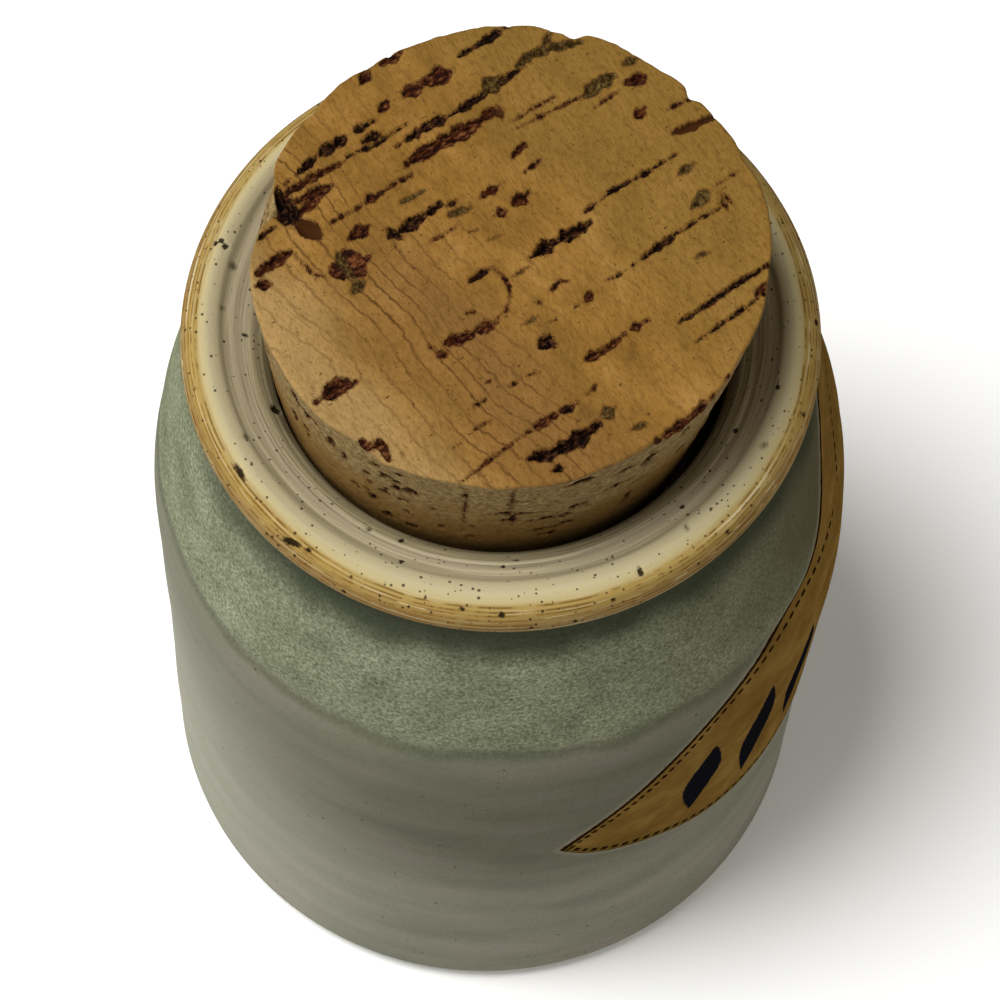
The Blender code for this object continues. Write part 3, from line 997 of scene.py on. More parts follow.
    def material(self) -> bpy.types.Material:
        """Build the glaze's material.

        Returns:
            The material.
        """
        recipe = Recipe(bpy.data.materials.new("glazed stoneware"))
        place = recipe.add("Mapping", {
            "Vector": recipe.add("TexCoord", out="Object"), "Scale": (1 / MM, 1 / MM, 1 / MM)})
        run = recipe.add("Attribute", attribute_name="run", out="Fac")
        height = recipe.add("SeparateXYZ", {0: place}, out=2)
        collar = self.collar_colour(recipe, place, run)
        wall = self.banner_colour(recipe, place, self.wall_colour(recipe, place, height))
        creep = recipe.add("TexNoise", {"Vector": place, "Scale": 1 / self.creep_size, "Detail": 3.0})
        edge = recipe.add("MapRange", {"Value": creep, "To Min": -0.8, "To Max": 0.8})
        outer = recipe.add("Math", {0: run, 1: edge}, operation="ADD")
        outer = recipe.add("MapRange", {"Value": outer, "From Min": 18.9, "From Max": 19.9}, **SOFT)
        colour = recipe.add("Mix", {FACTOR: outer, FIRST: collar, SECOND: wall}, **COLOURS)
        colour = self.spotted(recipe, place, self.specks(recipe, place, run, colour))
        grain = recipe.add("TexNoise", {"Vector": place, "Scale": 1 / self.grain_size, "Detail": 3.0,
                                        "Roughness": 0.6})
        gloss = recipe.add("MapRange", {
            "Value": height, "From Min": 106.0, "From Max": 117.0, "To Min": self.roughness_satin,
            "To Max": self.roughness_matt})
        recipe.shader.inputs["IOR"].default_value = self.ior
        recipe.shader.inputs["Specular IOR Level"].default_value = self.specular
        recipe.finish(colour, gloss, grain, 0.10 * MM, 0.5)
        return recipe.material


# The cork

class Fill(Enum):
    """What shows in a pore: its weights of bark brown, moss green and rust."""

    DEEP = (0.0, 0.0, 0.0)
    BARK = (1.0, 0.0, 0.0)
    MOSS = (0.0, 1.0, 0.0)
    RUST = (0.0, 0.0, 1.0)


@dataclass(frozen=True)
class Fissure:
    """An open pore or crack in the cork's top, along a line from the top's middle."""

    line: Line
    width: float
    depth: float
    fill: Fill = Fill.DEEP
    ragged: float = 0.4


TOP_FISSURES = (
    Fissure(((3.0, -1.2), (5.5, 0.8), (8.5, 2.6), (11.6, 4.4)), 2.0, 2.2, Fill.DEEP, 0.45),
    Fissure(((10.8, 6.2), (14.5, 9.5), (19.0, 12.2), (24.2, 15.8)), 0.75, 1.0, Fill.DEEP, 0.5),
    Fissure(((14.2, -4.9), (17.0, -3.2), (20.5, -0.2), (26.5, 4.4), (32.0, 7.8)), 0.7, 0.9, Fill.DEEP, 0.6),
    Fissure(((24.3, -11.8), (28.5, -8.8), (32.2, -5.8), (37.4, -2.4)), 0.8, 1.1, Fill.DEEP, 0.5),
    Fissure(((26.8, -14.8), (31.5, -11.2), (36.8, -7.0)), 0.6, 0.9, Fill.DEEP, 0.4),
    Fissure(((35.6, -7.2), (37.2, -5.4)), 1.6, 1.2, Fill.BARK, 0.3),
    Fissure(((-15.0, 14.6), (-11.0, 17.3), (-6.8, 19.8), (-2.2, 23.6)), 2.1, 1.5, Fill.BARK, 0.35),
    Fissure(((-2.6, 23.4), (-1.4, 22.0)), 1.6, 0.7, Fill.RUST, 0.2),
    Fissure(((-17.0, 17.2), (-12.5, 20.4), (-7.5, 23.4), (-4.6, 25.6), (-1.0, 28.6), (1.6, 30.6)),
            1.3, 1.3, Fill.DEEP, 0.6),
    Fissure(((-4.0, 26.2), (-2.2, 28.6)), 2.4, 0.7, Fill.MOSS, 0.5),
    Fissure(((0.6, 30.6), (2.4, 32.4), (6.0, 33.8), (10.0, 34.6)), 1.5, 1.2, Fill.MOSS, 0.5),
    Fissure(((3.8, 33.0), (5.6, 36.6)), 1.0, 0.8, Fill.MOSS, 0.5),
    Fissure(((-8.0, 32.4), (-4.4, 34.8), (-0.6, 37.6)), 1.0, 1.1, Fill.DEEP, 0.5),
    Fissure(((-33.0, 11.0), (-28.5, 15.6), (-24.4, 18.8), (-20.4, 21.6)), 1.2, 1.5, Fill.DEEP, 0.8),
    Fissure(((-33.5, 9.0), (-29.0, 12.2), (-24.2, 14.8)), 1.1, 1.3, Fill.BARK, 0.6),
    Fissure(((-21.8, 18.0), (-19.4, 19.4)), 1.5, 1.5, Fill.DEEP, 0.4),
    Fissure(((-24.0, 15.6), (-20.0, 17.6), (-15.6, 20.8)), 0.8, 1.2, Fill.DEEP, 0.7),
    Fissure(((-13.5, 19.8), (-11.4, 21.2)), 1.3, 1.4, Fill.DEEP, 0.4),
    Fissure(((-31.5, 8.0), (-26.0, 10.8)), 1.5, 1.4, Fill.BARK, 0.6),
    Fissure(((-31.0, 6.0), (-27.4, 9.4)), 1.4, 1.3, Fill.BARK, 0.6),
    Fissure(((-13.4, 27.8), (-9.2, 29.6)), 3.2, 0.9, Fill.BARK, 0.35),
    Fissure(((-16.0, 26.0), (-13.6, 27.0)), 2.4, 0.8, Fill.BARK, 0.35),
    Fissure(((-19.6, 23.0), (-18.2, 24.8)), 1.0, 0.6, Fill.BARK, 0.6),
    Fissure(((-22.2, 28.0), (-21.4, 30.0)), 1.8, 1.5, Fill.BARK, 0.4),
    Fissure(((-19.6, 31.0), (-16.0, 33.6)), 1.4, 1.3, Fill.BARK, 0.6),
    Fissure(((-17.4, 2.4), (-14.5, 4.2), (-10.2, 7.6)), 1.5, 1.9, Fill.DEEP, 0.45),
    Fissure(((-17.6, 3.6), (-15.4, 2.0)), 1.3, 1.8, Fill.DEEP, 0.4),
    Fissure(((-9.3, 7.2), (-7.9, 8.2)), 1.3, 1.4, Fill.DEEP, 0.3),
    Fissure(((-8.8, 5.8), (-5.8, 7.0)), 1.3, 0.6, Fill.MOSS, 0.6),
    Fissure(((-23.4, 1.8), (-20.4, 4.0)), 1.6, 1.2, Fill.BARK, 0.4),
    Fissure(((-25.2, -3.4), (-20.8, -1.4)), 3.8, 0.5, Fill.BARK, 0.45),
    Fissure(((-24.6, -3.0), (-22.4, -1.6)), 3.6, 0.5, Fill.MOSS, 0.45),
    Fissure(((-22.4, -6.4), (-20.6, -4.8)), 1.4, 0.3, Fill.MOSS, 0.6),
    Fissure(((-34.2, 9.8), (-33.2, 7.0), (-31.4, 4.6)), 3.0, 4.2, Fill.DEEP, 0.4),
    Fissure(((-31.2, 5.0), (-27.6, 2.2)), 2.4, 1.2, Fill.RUST, 0.25),
    Fissure(((-36.4, -3.6), (-33.8, -1.6), (-31.6, 0.0)), 1.9, 1.4, Fill.BARK, 0.4),
    Fissure(((-37.0, 1.6), (-34.2, 4.0)), 0.7, 1.2, Fill.DEEP, 0.4),
    Fissure(((-36.4, -5.6), (-34.4, -5.2)), 1.3, 1.0, Fill.BARK, 0.4),
    Fissure(((-31.6, 0.0), (-28.6, -3.6), (-26.4, -4.2)), 0.6, 0.6, Fill.BARK, 0.5),
    Fissure(((-27.0, -24.2), (-24.0, -21.6), (-22.0, -21.2)), 2.6, 1.3, Fill.BARK, 0.35),
    Fissure(((-9.2, -15.0), (-5.2, -13.6)), 2.0, 1.6, Fill.BARK, 0.3),
    Fissure(((-4.6, -13.0), (-1.6, -11.6)), 1.6, 1.3, Fill.BARK, 0.3),
    Fissure(((-10.0, -17.0), (-8.6, -16.4)), 1.3, 1.0, Fill.BARK, 0.3),
    Fissure(((-11.4, -15.4), (-9.4, -16.4)), 0.4, 0.5, Fill.BARK, 0.5),
    Fissure(((4.4, -15.6), (5.5, -14.6), (6.6, -15.2)), 1.7, 1.9, Fill.DEEP, 0.5),
    Fissure(((5.8, -14.4), (6.0, -13.6)), 0.9, 1.5, Fill.DEEP, 0.2),
    Fissure(((-5.8, -5.0), (-4.4, -4.0), (-2.6, -2.8)), 1.2, 1.6, Fill.DEEP, 0.4),
    Fissure(((-2.6, -2.6), (-0.4, -4.8), (0.2, -7.0), (-0.2, -9.6), (-2.0, -11.4)), 0.5, 0.6, Fill.BARK, 0.5),
    Fissure(((0.4, -4.4), (3.2, -2.4)), 0.45, 0.5, Fill.MOSS, 0.5),
    Fissure(((11.0, -17.6), (12.8, -16.6)), 1.7, 1.2, Fill.BARK, 0.4),
    Fissure(((12.8, -17.0), (15.6, -14.6), (17.0, -13.2)), 0.9, 1.1, Fill.BARK, 0.6),
    Fissure(((17.6, -12.8), (19.8, -11.4)), 1.2, 1.1, Fill.BARK, 0.4),
    Fissure(((2.6, -29.4), (6.0, -26.8), (10.0, -24.4)), 0.9, 1.0, Fill.BARK, 0.8),
    Fissure(((7.4, -25.8), (9.4, -25.0)), 1.1, 1.1, Fill.DEEP, 0.4),
    Fissure(((11.4, -23.0), (12.6, -21.8)), 0.9, 0.8, Fill.BARK, 0.5),
    Fissure(((3.4, -33.0), (6.2, -32.4), (9.2, -30.8), (13.0, -27.8)), 2.3, 2.3, Fill.DEEP, 0.45),
    Fissure(((6.6, -35.0), (8.2, -34.4)), 1.4, 1.8, Fill.DEEP, 0.3),
    Fissure(((-6.0, -36.6), (-3.0, -34.0), (0.4, -31.2), (2.0, -29.8)), 0.5, 0.7, Fill.BARK, 0.5),
    Fissure(((-4.4, -24.6), (-3.0, -24.0)), 1.1, 1.1, Fill.DEEP, 0.3),
    Fissure(((0.2, -21.8), (1.4, -21.2)), 0.8, 0.8, Fill.BARK, 0.3),
    Fissure(((-3.0, -21.2), (-2.4, -20.9)), 0.6, 0.6, Fill.BARK, 0.3),
    Fissure(((2.6, -20.2), (4.6, -19.4)), 0.4, 0.5, Fill.BARK, 0.5),
    Fissure(((4.6, -28.2), (6.4, -27.2)), 0.8, 0.7, Fill.BARK, 0.5),
    Fissure(((-4.6, -28.6), (-2.0, -27.0)), 0.4, 0.5, Fill.BARK, 0.5),
    Fissure(((-7.6, -31.6), (-6.2, -30.6)), 0.5, 0.5, Fill.BARK, 0.5),
    Fissure(((19.6, -32.4), (21.8, -30.0), (26.0, -26.8), (30.0, -22.8)), 1.4, 1.8, Fill.BARK, 0.4),
    Fissure(((31.0, -21.0), (32.0, -19.8)), 0.8, 0.8, Fill.BARK, 0.5),
    Fissure(((17.8, -28.6), (19.6, -27.8)), 0.8, 0.4, Fill.MOSS, 0.6),
    Fissure(((14.0, -26.4), (15.4, -25.2)), 1.8, 0.4, Fill.MOSS, 0.5),
    Fissure(((0.2, 15.4), (2.0, 17.8)), 1.0, 0.9, Fill.BARK, 0.5),
    Fissure(((2.0, 12.8), (4.4, 15.0)), 0.7, 0.7, Fill.BARK, 0.6),
    Fissure(((0.2, 7.4), (2.4, 9.4)), 1.9, 1.3, Fill.BARK, 0.35),
    Fissure(((-2.2, 5.6), (-0.8, 6.6)), 1.5, 1.1, Fill.BARK, 0.35),
    Fissure(((-4.6, 8.6), (-1.4, 10.8)), 1.1, 0.9, Fill.BARK, 0.6),
    Fissure(((-26.0, 4.6), (-22.6, 6.8), (-19.8, 8.8), (-17.0, 11.0), (-14.4, 12.6)),
            0.8, 0.9, Fill.BARK, 0.8),
    Fissure(((-20.8, 8.2), (-19.4, 9.2)), 1.3, 1.1, Fill.BARK, 0.3),
    Fissure(((-16.0, 7.8), (-12.6, 9.8)), 0.8, 0.4, Fill.MOSS, 0.6),
    Fissure(((-11.2, 1.6), (-7.6, 4.0)), 0.5, 0.5, Fill.BARK, 0.6),
    Fissure(((-3.2, 1.6), (-1.0, 2.6)), 0.5, 0.3, Fill.MOSS, 0.5),
    Fissure(((-5.8, 3.0), (-4.8, 3.4)), 0.8, 0.5, Fill.BARK, 0.5),
    Fissure(((10.6, 25.4), (12.6, 27.4), (14.6, 28.8)), 2.6, 0.8, Fill.MOSS, 0.5),
    Fissure(((1.0, 20.2), (5.0, 22.6), (10.4, 25.6)), 0.6, 0.8, Fill.BARK, 0.7),
    Fissure(((0.2, 21.4), (3.6, 23.8), (6.4, 25.6)), 0.45, 0.6, Fill.BARK, 0.7),
    Fissure(((12.0, 23.4), (15.4, 26.2)), 0.5, 0.5, Fill.BARK, 0.6),
    Fissure(((16.0, 30.6), (18.0, 31.6)), 1.6, 0.6, Fill.MOSS, 0.6),
    Fissure(((16.4, 27.4), (19.8, 28.8)), 1.6, 0.9, Fill.BARK, 0.5),
    Fissure(((18.0, 21.8), (19.2, 23.2)), 1.6, 1.1, Fill.BARK, 0.5),
    Fissure(((23.6, 19.2), (27.0, 20.6), (30.0, 22.2)), 1.5, 0.9, Fill.RUST, 0.2),
    Fissure(((22.6, 23.0), (26.0, 24.8)), 0.8, 0.6, Fill.BARK, 0.6),
    Fissure(((24.4, 12.4), (26.4, 14.0)), 1.3, 0.4, Fill.MOSS, 0.6),
    Fissure(((26.0, 6.6), (28.6, 9.4)), 1.8, 0.4, Fill.MOSS, 0.6),
    Fissure(((30.0, 9.2), (31.4, 6.4)), 1.1, 0.9, Fill.BARK, 0.5),
    Fissure(((29.8, 10.4), (33.0, 12.8)), 0.5, 0.5, Fill.BARK, 0.5),
    Fissure(((26.8, -1.2), (29.0, -0.4)), 0.8, 0.3, Fill.MOSS, 0.6),
    Fissure(((6.2, -6.6), (7.2, -5.0), (8.6, -5.0)), 0.9, 0.9, Fill.BARK, 0.4),
    Fissure(((11.2, -8.2), (12.0, -6.8)), 1.0, 0.9, Fill.BARK, 0.5),
    Fissure(((9.4, -9.4), (10.2, -8.6)), 0.5, 0.5, Fill.BARK, 0.5),
    Fissure(((3.6, -8.4), (4.8, -8.6)), 0.5, 0.5, Fill.BARK, 0.5),
    Fissure(((2.0, -12.2), (4.2, -10.6)), 0.6, 0.5, Fill.MOSS, 0.6),
    Fissure(((5.6, -11.6), (6.8, -11.2)), 0.5, 0.5, Fill.BARK, 0.5),
    Fissure(((-21.4, -30.6), (-18.0, -31.2), (-16.6, -33.4)), 1.6, 1.2, Fill.BARK, 0.7),
    Fissure(((-6.2, -10.2), (-4.8, -9.8)), 0.4, 0.4, Fill.BARK, 0.4),
)


# Where the growth lines cross the top, from its middle along their normal
GROWTH_LINES = (
    -44.0, -39.5, -35.8, -32.4, -29.4, -26.2, -23.4, -20.8, -18.2, -16.4, -14.4, -12.2, -9.4, -6.0, -2.4,
    1.4, 5.6, 9.2, 13.4, 17.0, 21.2, 25.0, 29.4, 33.2, 37.6, 42.0,
)


@dataclass(frozen=True)
class SidePore:
    """A pore in the cork's side: its angle and height, its width round and its height."""

    angle: float
    height: float
    width: float
    tall: float
    depth: float = 0.8


SIDE_PORES = (
    SidePore(-141, 171.0, 4.2, 2.0), SidePore(-145, 172.5, 2.0, 2.6), SidePore(-132.5, 168.2, 2.2, 2.4),
    SidePore(-128.5, 166.5, 0.8, 2.2), SidePore(-120, 171.3, 1.8, 1.8), SidePore(-117.5, 169.0, 1.8, 2.0),
    SidePore(-114.5, 168.0, 1.2, 1.4), SidePore(-111.0, 166.3, 2.6, 3.0, 1.4),
    SidePore(-114.5, 165.5, 1.4, 2.0),
    SidePore(-122, 166.4, 1.2, 1.8), SidePore(-113.8, 173.0, 1.4, 1.6), SidePore(-121.5, 162.4, 1.0, 1.6),
    SidePore(-118.0, 160.4, 1.8, 2.2), SidePore(-117.0, 162.8, 0.8, 1.2), SidePore(-126.0, 155.4, 1.8, 1.8),
    SidePore(-121.0, 155.0, 2.0, 2.4), SidePore(-122.5, 157.4, 1.2, 1.0), SidePore(-141.5, 162.4, 1.8, 1.8),
    SidePore(-147.5, 160.4, 1.4, 3.2), SidePore(-142.0, 159.4, 1.6, 3.0), SidePore(-112.0, 155.2, 0.8, 1.2),
    SidePore(-103.0, 152.8, 0.8, 1.2), SidePore(-117.0, 149.0, 1.6, 3.2), SidePore(-110.5, 148.6, 1.8, 2.4),
    SidePore(-98.5, 171.2, 1.0, 1.2), SidePore(-112.8, 160.6, 1.4, 1.2), SidePore(-105.0, 160.6, 1.0, 0.8),
    SidePore(-95.5, 155.2, 1.0, 0.9), SidePore(-95.5, 149.8, 2.0, 0.8), SidePore(-86.0, 169.2, 1.8, 0.8),
    SidePore(-88.0, 163.0, 3.4, 1.2), SidePore(-82.5, 162.4, 4.4, 1.0), SidePore(-86.5, 160.0, 1.0, 4.0),
    SidePore(-87.5, 159.4, 2.6, 1.4), SidePore(-78.0, 158.2, 4.8, 1.4), SidePore(-74.5, 158.0, 2.4, 1.8),
    SidePore(-79.0, 153.2, 3.6, 1.2), SidePore(-73.5, 153.0, 3.4, 1.4), SidePore(-76.5, 149.4, 3.4, 1.4),
    SidePore(-73.5, 174.0, 4.2, 1.6), SidePore(-71.5, 161.4, 2.0, 2.4), SidePore(-63.0, 164.8, 3.4, 1.4),
    SidePore(-55.5, 169.6, 2.0, 3.2), SidePore(-46.5, 172.2, 2.0, 2.6), SidePore(-57.0, 153.4, 1.2, 4.6),
    SidePore(-62.0, 170.6, 2.4, 1.0), SidePore(-56.5, 161.0, 2.4, 1.0), SidePore(-43.0, 161.0, 2.0, 1.6),
    SidePore(-98.0, 165.0, 0.5, 12.0, 0.3), SidePore(-88.0, 170.5, 0.5, 8.0, 0.3),
)


@dataclass(frozen=True)
class RimNotch:
    """A place where the cork's top edge is cut in or stands out: angle, inset, half spread."""

    angle: float
    inset: float
    spread: float
    drop: float = 9.0


RIM_NOTCHES = (
    RimNotch(8, -0.30, 10, 30), RimNotch(24, 0.70, 4.5), RimNotch(37, 0.85, 8, 14),
    RimNotch(44, 1.10, 1.8, 5),
    RimNotch(56, 0.80, 8, 14), RimNotch(76, 1.05, 2.0, 5), RimNotch(80, 0.70, 4), RimNotch(112, 0.40, 4),
    RimNotch(125, 0.30, 3, 5), RimNotch(142, 0.60, 4), RimNotch(162, 1.00, 3.5, 6),
    RimNotch(168, 3.00, 4.0, 6),
    RimNotch(174, 0.90, 5, 6), RimNotch(212, 0.20, 14), RimNotch(235, 0.70, 6), RimNotch(243, -0.30, 3),
    RimNotch(299, 0.70, 9, 12), RimNotch(331, 0.25, 5),
)


@dataclass
class CorkStopper:
    """The tapered natural cork, leaning a little, with open pores and a worn edge."""

    top_height: float = 177.0
    top_radius: float = 37.7
    bottom_height: float = 130.0
    bottom_radius: float = 32.4
    offset: float = -0.77
    tilt: float = math.radians(3.2)
    top_slope: float = 0.05
    seat_back: float = 1.0
    grain: float = math.radians(33)
    growth_turn: float = math.radians(40)
    pore_radius: float = 36.0
    unseen_pores: int = 85
    cells: int = 196
    rows: int = 50
    shown_depth: float = 31.5
    hidden_rows: int = 6
    edge: float = 0.45

    def axis(self, heights: np.ndarray | float) -> np.ndarray | float:
        """Sideways place of the leaning axis at each height."""
        return self.offset + math.tan(self.tilt) * (heights - self.bottom_height)

    def outline(self, angles: np.ndarray, depths: np.ndarray) -> np.ndarray:
        """Radius of the side, with its flats and notches.

        Args:
            angles: Angle of each place, in degrees.
            depths: Depth of each place below the top.

        Returns:
            The radius at each place.
        """
        share = np.clip(depths / (self.top_height - self.bottom_height), 0.0, 1.0)
        radius = self.top_radius + (self.bottom_radius - self.top_radius) * share
        for notch in RIM_NOTCHES:
            away = angle_off(angles, notch.angle)
            fade = 1 - smooth_step(depths, 0.0, notch.drop)
            radius = radius - notch.inset * np.exp(-(away / notch.spread) ** 2) * fade
        turn = np.radians(angles)
        rim = np.column_stack([37 * np.cos(turn), 37 * np.sin(turn), depths])
        uneven = 0.10 * ripple(rim, 3.2, 41) + 0.05 * ripple(rim, 1.1, 42)
        return radius + uneven * (1 - smooth_step(depths, 30.0, 33.0))

    def model(self) -> bmesh.types.BMesh:
        """Make the top as a grid and extrude its boundary down the side to the base.

        Returns:
            The bmesh with its top as a square of side two, whose vertex layer named ring
            counts the rows below the top.
        """
        shape = bmesh.new()
        ring = shape.verts.layers.float.new("ring")
        bmesh.ops.create_grid(shape, x_segments=self.cells, y_segments=self.cells, size=1.0)
        edges = [edge for edge in shape.edges if edge.is_boundary]
        for row in range(1, self.rows + self.hidden_rows + 1):
            made = bmesh.ops.extrude_edge_only(shape, edges=edges)["geom"]
            for vertex in made:
                if isinstance(vertex, bmesh.types.BMVert):
                    vertex[ring] = row
            edges = [edge for edge in made if isinstance(edge, bmesh.types.BMEdge) and edge.is_boundary]
        bmesh.ops.contextual_create(shape, geom=edges)
        bmesh.ops.recalc_face_normals(shape, faces=shape.faces)
        return shape

    def row_depth(self, ring: np.ndarray) -> np.ndarray:
        """Place the rows of the side, closer where they show.

        Args:
            ring: Number of each row, which is 0 on the top.

        Returns:
            The depth of each row below the top.
        """
        shown = self.edge + (self.shown_depth - self.edge) * np.clip(ring - 1, 0, None) / (self.rows - 1)
        total = self.top_height - self.bottom_height
        hidden = self.shown_depth + (total - self.shown_depth) * (ring - self.rows) / self.hidden_rows
        return np.where(ring > self.rows, hidden, np.where(ring > 0, shown, 0.0))

    def pores(self, places: np.ndarray) -> tuple[np.ndarray, np.ndarray, np.ndarray]:
        """Measure places on the top against its fissures.

        Args:
            places: Points from the top's middle, as rows of two.

        Returns:
            How far inside a fissure each place is, how deep it is sunk, and the weights of
            the three fills.
        """
        inside = np.full(len(places), -2.0)
        sunk = np.zeros(len(places))
        fill = np.zeros((len(places), 3))
        turn = np.array([math.cos(self.grain), math.sin(self.grain)])
        for number, fissure in enumerate(TOP_FISSURES):
            corners = np.array(fissure.line)
            reach = 3.0 + fissure.width
            near = np.all((places > corners.min(0) - reach) & (places < corners.max(0) + reach), axis=1)
            spot = places[near]
            away, along, _ = nearest_on_line(spot, fissure.line)
            length = sum(math.dist(a, b) for a, b in zip(fissure.line, fissure.line[1:]))
            taper = 0.30 + 0.70 * np.sin(math.pi * np.clip(along / length, 0.02, 0.98)) ** 0.6
            steps = np.column_stack([spot @ turn / 1.6, np.full(len(spot), 7.0 * number)])
            swell = 1 + fissure.ragged * ripple(steps, 1.0, 100 + number)
            torn = np.column_stack([spot @ turn / 0.7, spot @ (turn[1], -turn[0]) / 2.2])
            jag = 0.16 * ripple(torn, 1.0, 300 + number)
            here = fissure.width / 2 * taper * swell + jag * min(1.0, fissure.width) - away
            deep = fissure.depth * smooth_step(here, -0.05, 0.30 + 0.20 * fissure.width)
            closer = here > inside[near]
            rows = np.flatnonzero(near)
            inside[rows[closer]] = here[closer]
            fill[rows[closer]] = fissure.fill.value
            sunk[rows] = np.maximum(sunk[rows], deep)
        return inside, sunk, fill

    def side_pores(self, angles: np.ndarray, heights: np.ndarray) -> tuple[np.ndarray, np.ndarray]:
        """Measure places on the side against its pores.

        Args:
            angles: Angle of each place.
            heights: Height of each place.

        Returns:
            How far inside a pore each place is, and how deep it is sunk.
        """
        source = np.random.default_rng(7)
        extra = [SidePore(source.uniform(-30, 200), source.uniform(148, 175), source.uniform(0.8, 3.4),
                          source.uniform(0.8, 2.2), 0.7) for _ in range(self.unseen_pores)]
        inside = np.full(len(angles), -2.0)
        sunk = np.zeros(len(angles))
        for number, pore in enumerate([*SIDE_PORES, *extra]):
            across = angle_off(angles, pore.angle) * math.radians(1) * self.pore_radius
            up = heights - pore.height
            flat = np.column_stack([across, up])
            swell = 1 + 0.35 * ripple(flat, 1.0, 500 + number, 6)
            share = np.hypot(across / (pore.width / 2), up / (pore.tall / 2))
            reach = (swell - share) * min(pore.width, pore.tall) / 2
            inside = np.maximum(inside, reach)
            sunk = np.maximum(sunk, pore.depth * smooth_step(reach, -0.1, 0.5))
        return inside, sunk

    def growth(self, places: np.ndarray) -> tuple[np.ndarray, np.ndarray, np.ndarray]:
        """Measure places on the top against the growth lines and the broad tones.

        Args:
            places: Points from the top's middle, as rows of two.

        Returns:
            The growth phase, whole on each line; how strongly the lines show; and the
            weights of the honey, reddish and olive tones.
        """
        across = places @ np.array([math.cos(self.growth_turn), math.sin(self.growth_turn)])
        along = places @ np.array([-math.sin(self.growth_turn), math.cos(self.growth_turn)])
        bend = 0.9 * ripple(np.column_stack([across / 14, along / 9]), 1.0, 71) - 0.0016 * along ** 2
        phase = np.interp(across + bend, GROWTH_LINES, np.arange(len(GROWTH_LINES)))
        strength = 0.20 + 0.60 * np.exp(-((across + 18.5) / 9.5) ** 2)
        edge = across + 2.0 * ripple(places / 9, 1.0, 72)
        honey = 0.55 * (1 - smooth_step(edge, -34.0, -20.0))
        reddish = 0.6 * np.exp(-((edge + 15) / 8) ** 2) * smooth_step(along, 22.0, 4.0)
        olive = 0.6 * smooth_step(edge, 2.0, 20.0)
        return phase, strength, np.column_stack([honey, reddish, olive])

    def build(self) -> bpy.types.Object:
        """Model the stopper, sink its pores, store what its finish reads, and dress it.

        Returns:
            The stopper's object.
        """
        piece = dress("cork_stopper", self.model())
        mesh = piece.data
        flat = read_points(mesh) * MM
        ring = np.empty(len(flat))
        mesh.attributes["ring"].data.foreach_get("value", ring)
        across = flat[:, 0] * np.sqrt(1 - flat[:, 1] ** 2 / 2)
        away = flat[:, 1] * np.sqrt(1 - flat[:, 0] ** 2 / 2)
        share = np.clip(np.hypot(across, away), 0.0, 1.0)
        turn = np.arctan2(away, across) + self.grain
        angles = np.degrees(turn)
        depths = self.row_depth(ring)
        rim = self.outline(angles, depths)
        top = ring == 0
        reach = np.where(top, rim - self.edge * 0.7, rim) * np.where(top, share, 1.0)
        places = np.column_stack([reach * np.cos(turn), reach * np.sin(turn)])
        inside, sunk, fill = self.pores(places)
        heights = self.top_height - depths
        side_inside, side_sunk = self.side_pores(angles, heights)
        down = smooth_step(depths, 0.2, 3.0)
        inside = np.where(top, inside, np.maximum(inside - depths * 0.6, side_inside))
        sunk_side = np.where(top, 0.0, side_sunk)
        ground = np.column_stack([places, depths])
        uneven = 0.05 * ripple(ground, 1.2, 61) + 0.08 * ripple(ground, 5.0, 62)
        lower = np.where(top, sunk + uneven + 0.1, sunk * (1 - down) * 0.6)
        reach = reach - sunk_side * smooth_step(depths, 0.3, 2.0)
        fade = np.clip(1 - depths / (self.top_height - self.bottom_height), 0.0, 1.0)
        tilt = self.top_slope * reach * np.cos(turn) * fade
        level = heights + tilt - lower
        back = self.seat_back * np.clip(depths / self.shown_depth, 0.0, 1.0)
        sideways = self.axis(level) + reach * np.cos(turn)
        points = np.column_stack([sideways, back + reach * np.sin(turn), level])
        write_points(mesh, points)
        store(mesh, "pore", np.clip(inside, -2.0, 2.0))
        store(mesh, "pore_fill", np.where(top[:, None], fill, np.array([0.5, 0.0, 0.0])))
        store(mesh, "side", smooth_step(depths, 0.1, 1.2))
        phase, strength, tone = self.growth(places)
        store(mesh, "growth", np.column_stack([phase, strength, np.zeros(len(phase))]))
        store(mesh, "tone", tone)
        mesh.shade_smooth()
        mesh.materials.append(NaturalCork(self.grain).material())
        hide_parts("stopper")
        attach(piece, "root")
        return piece


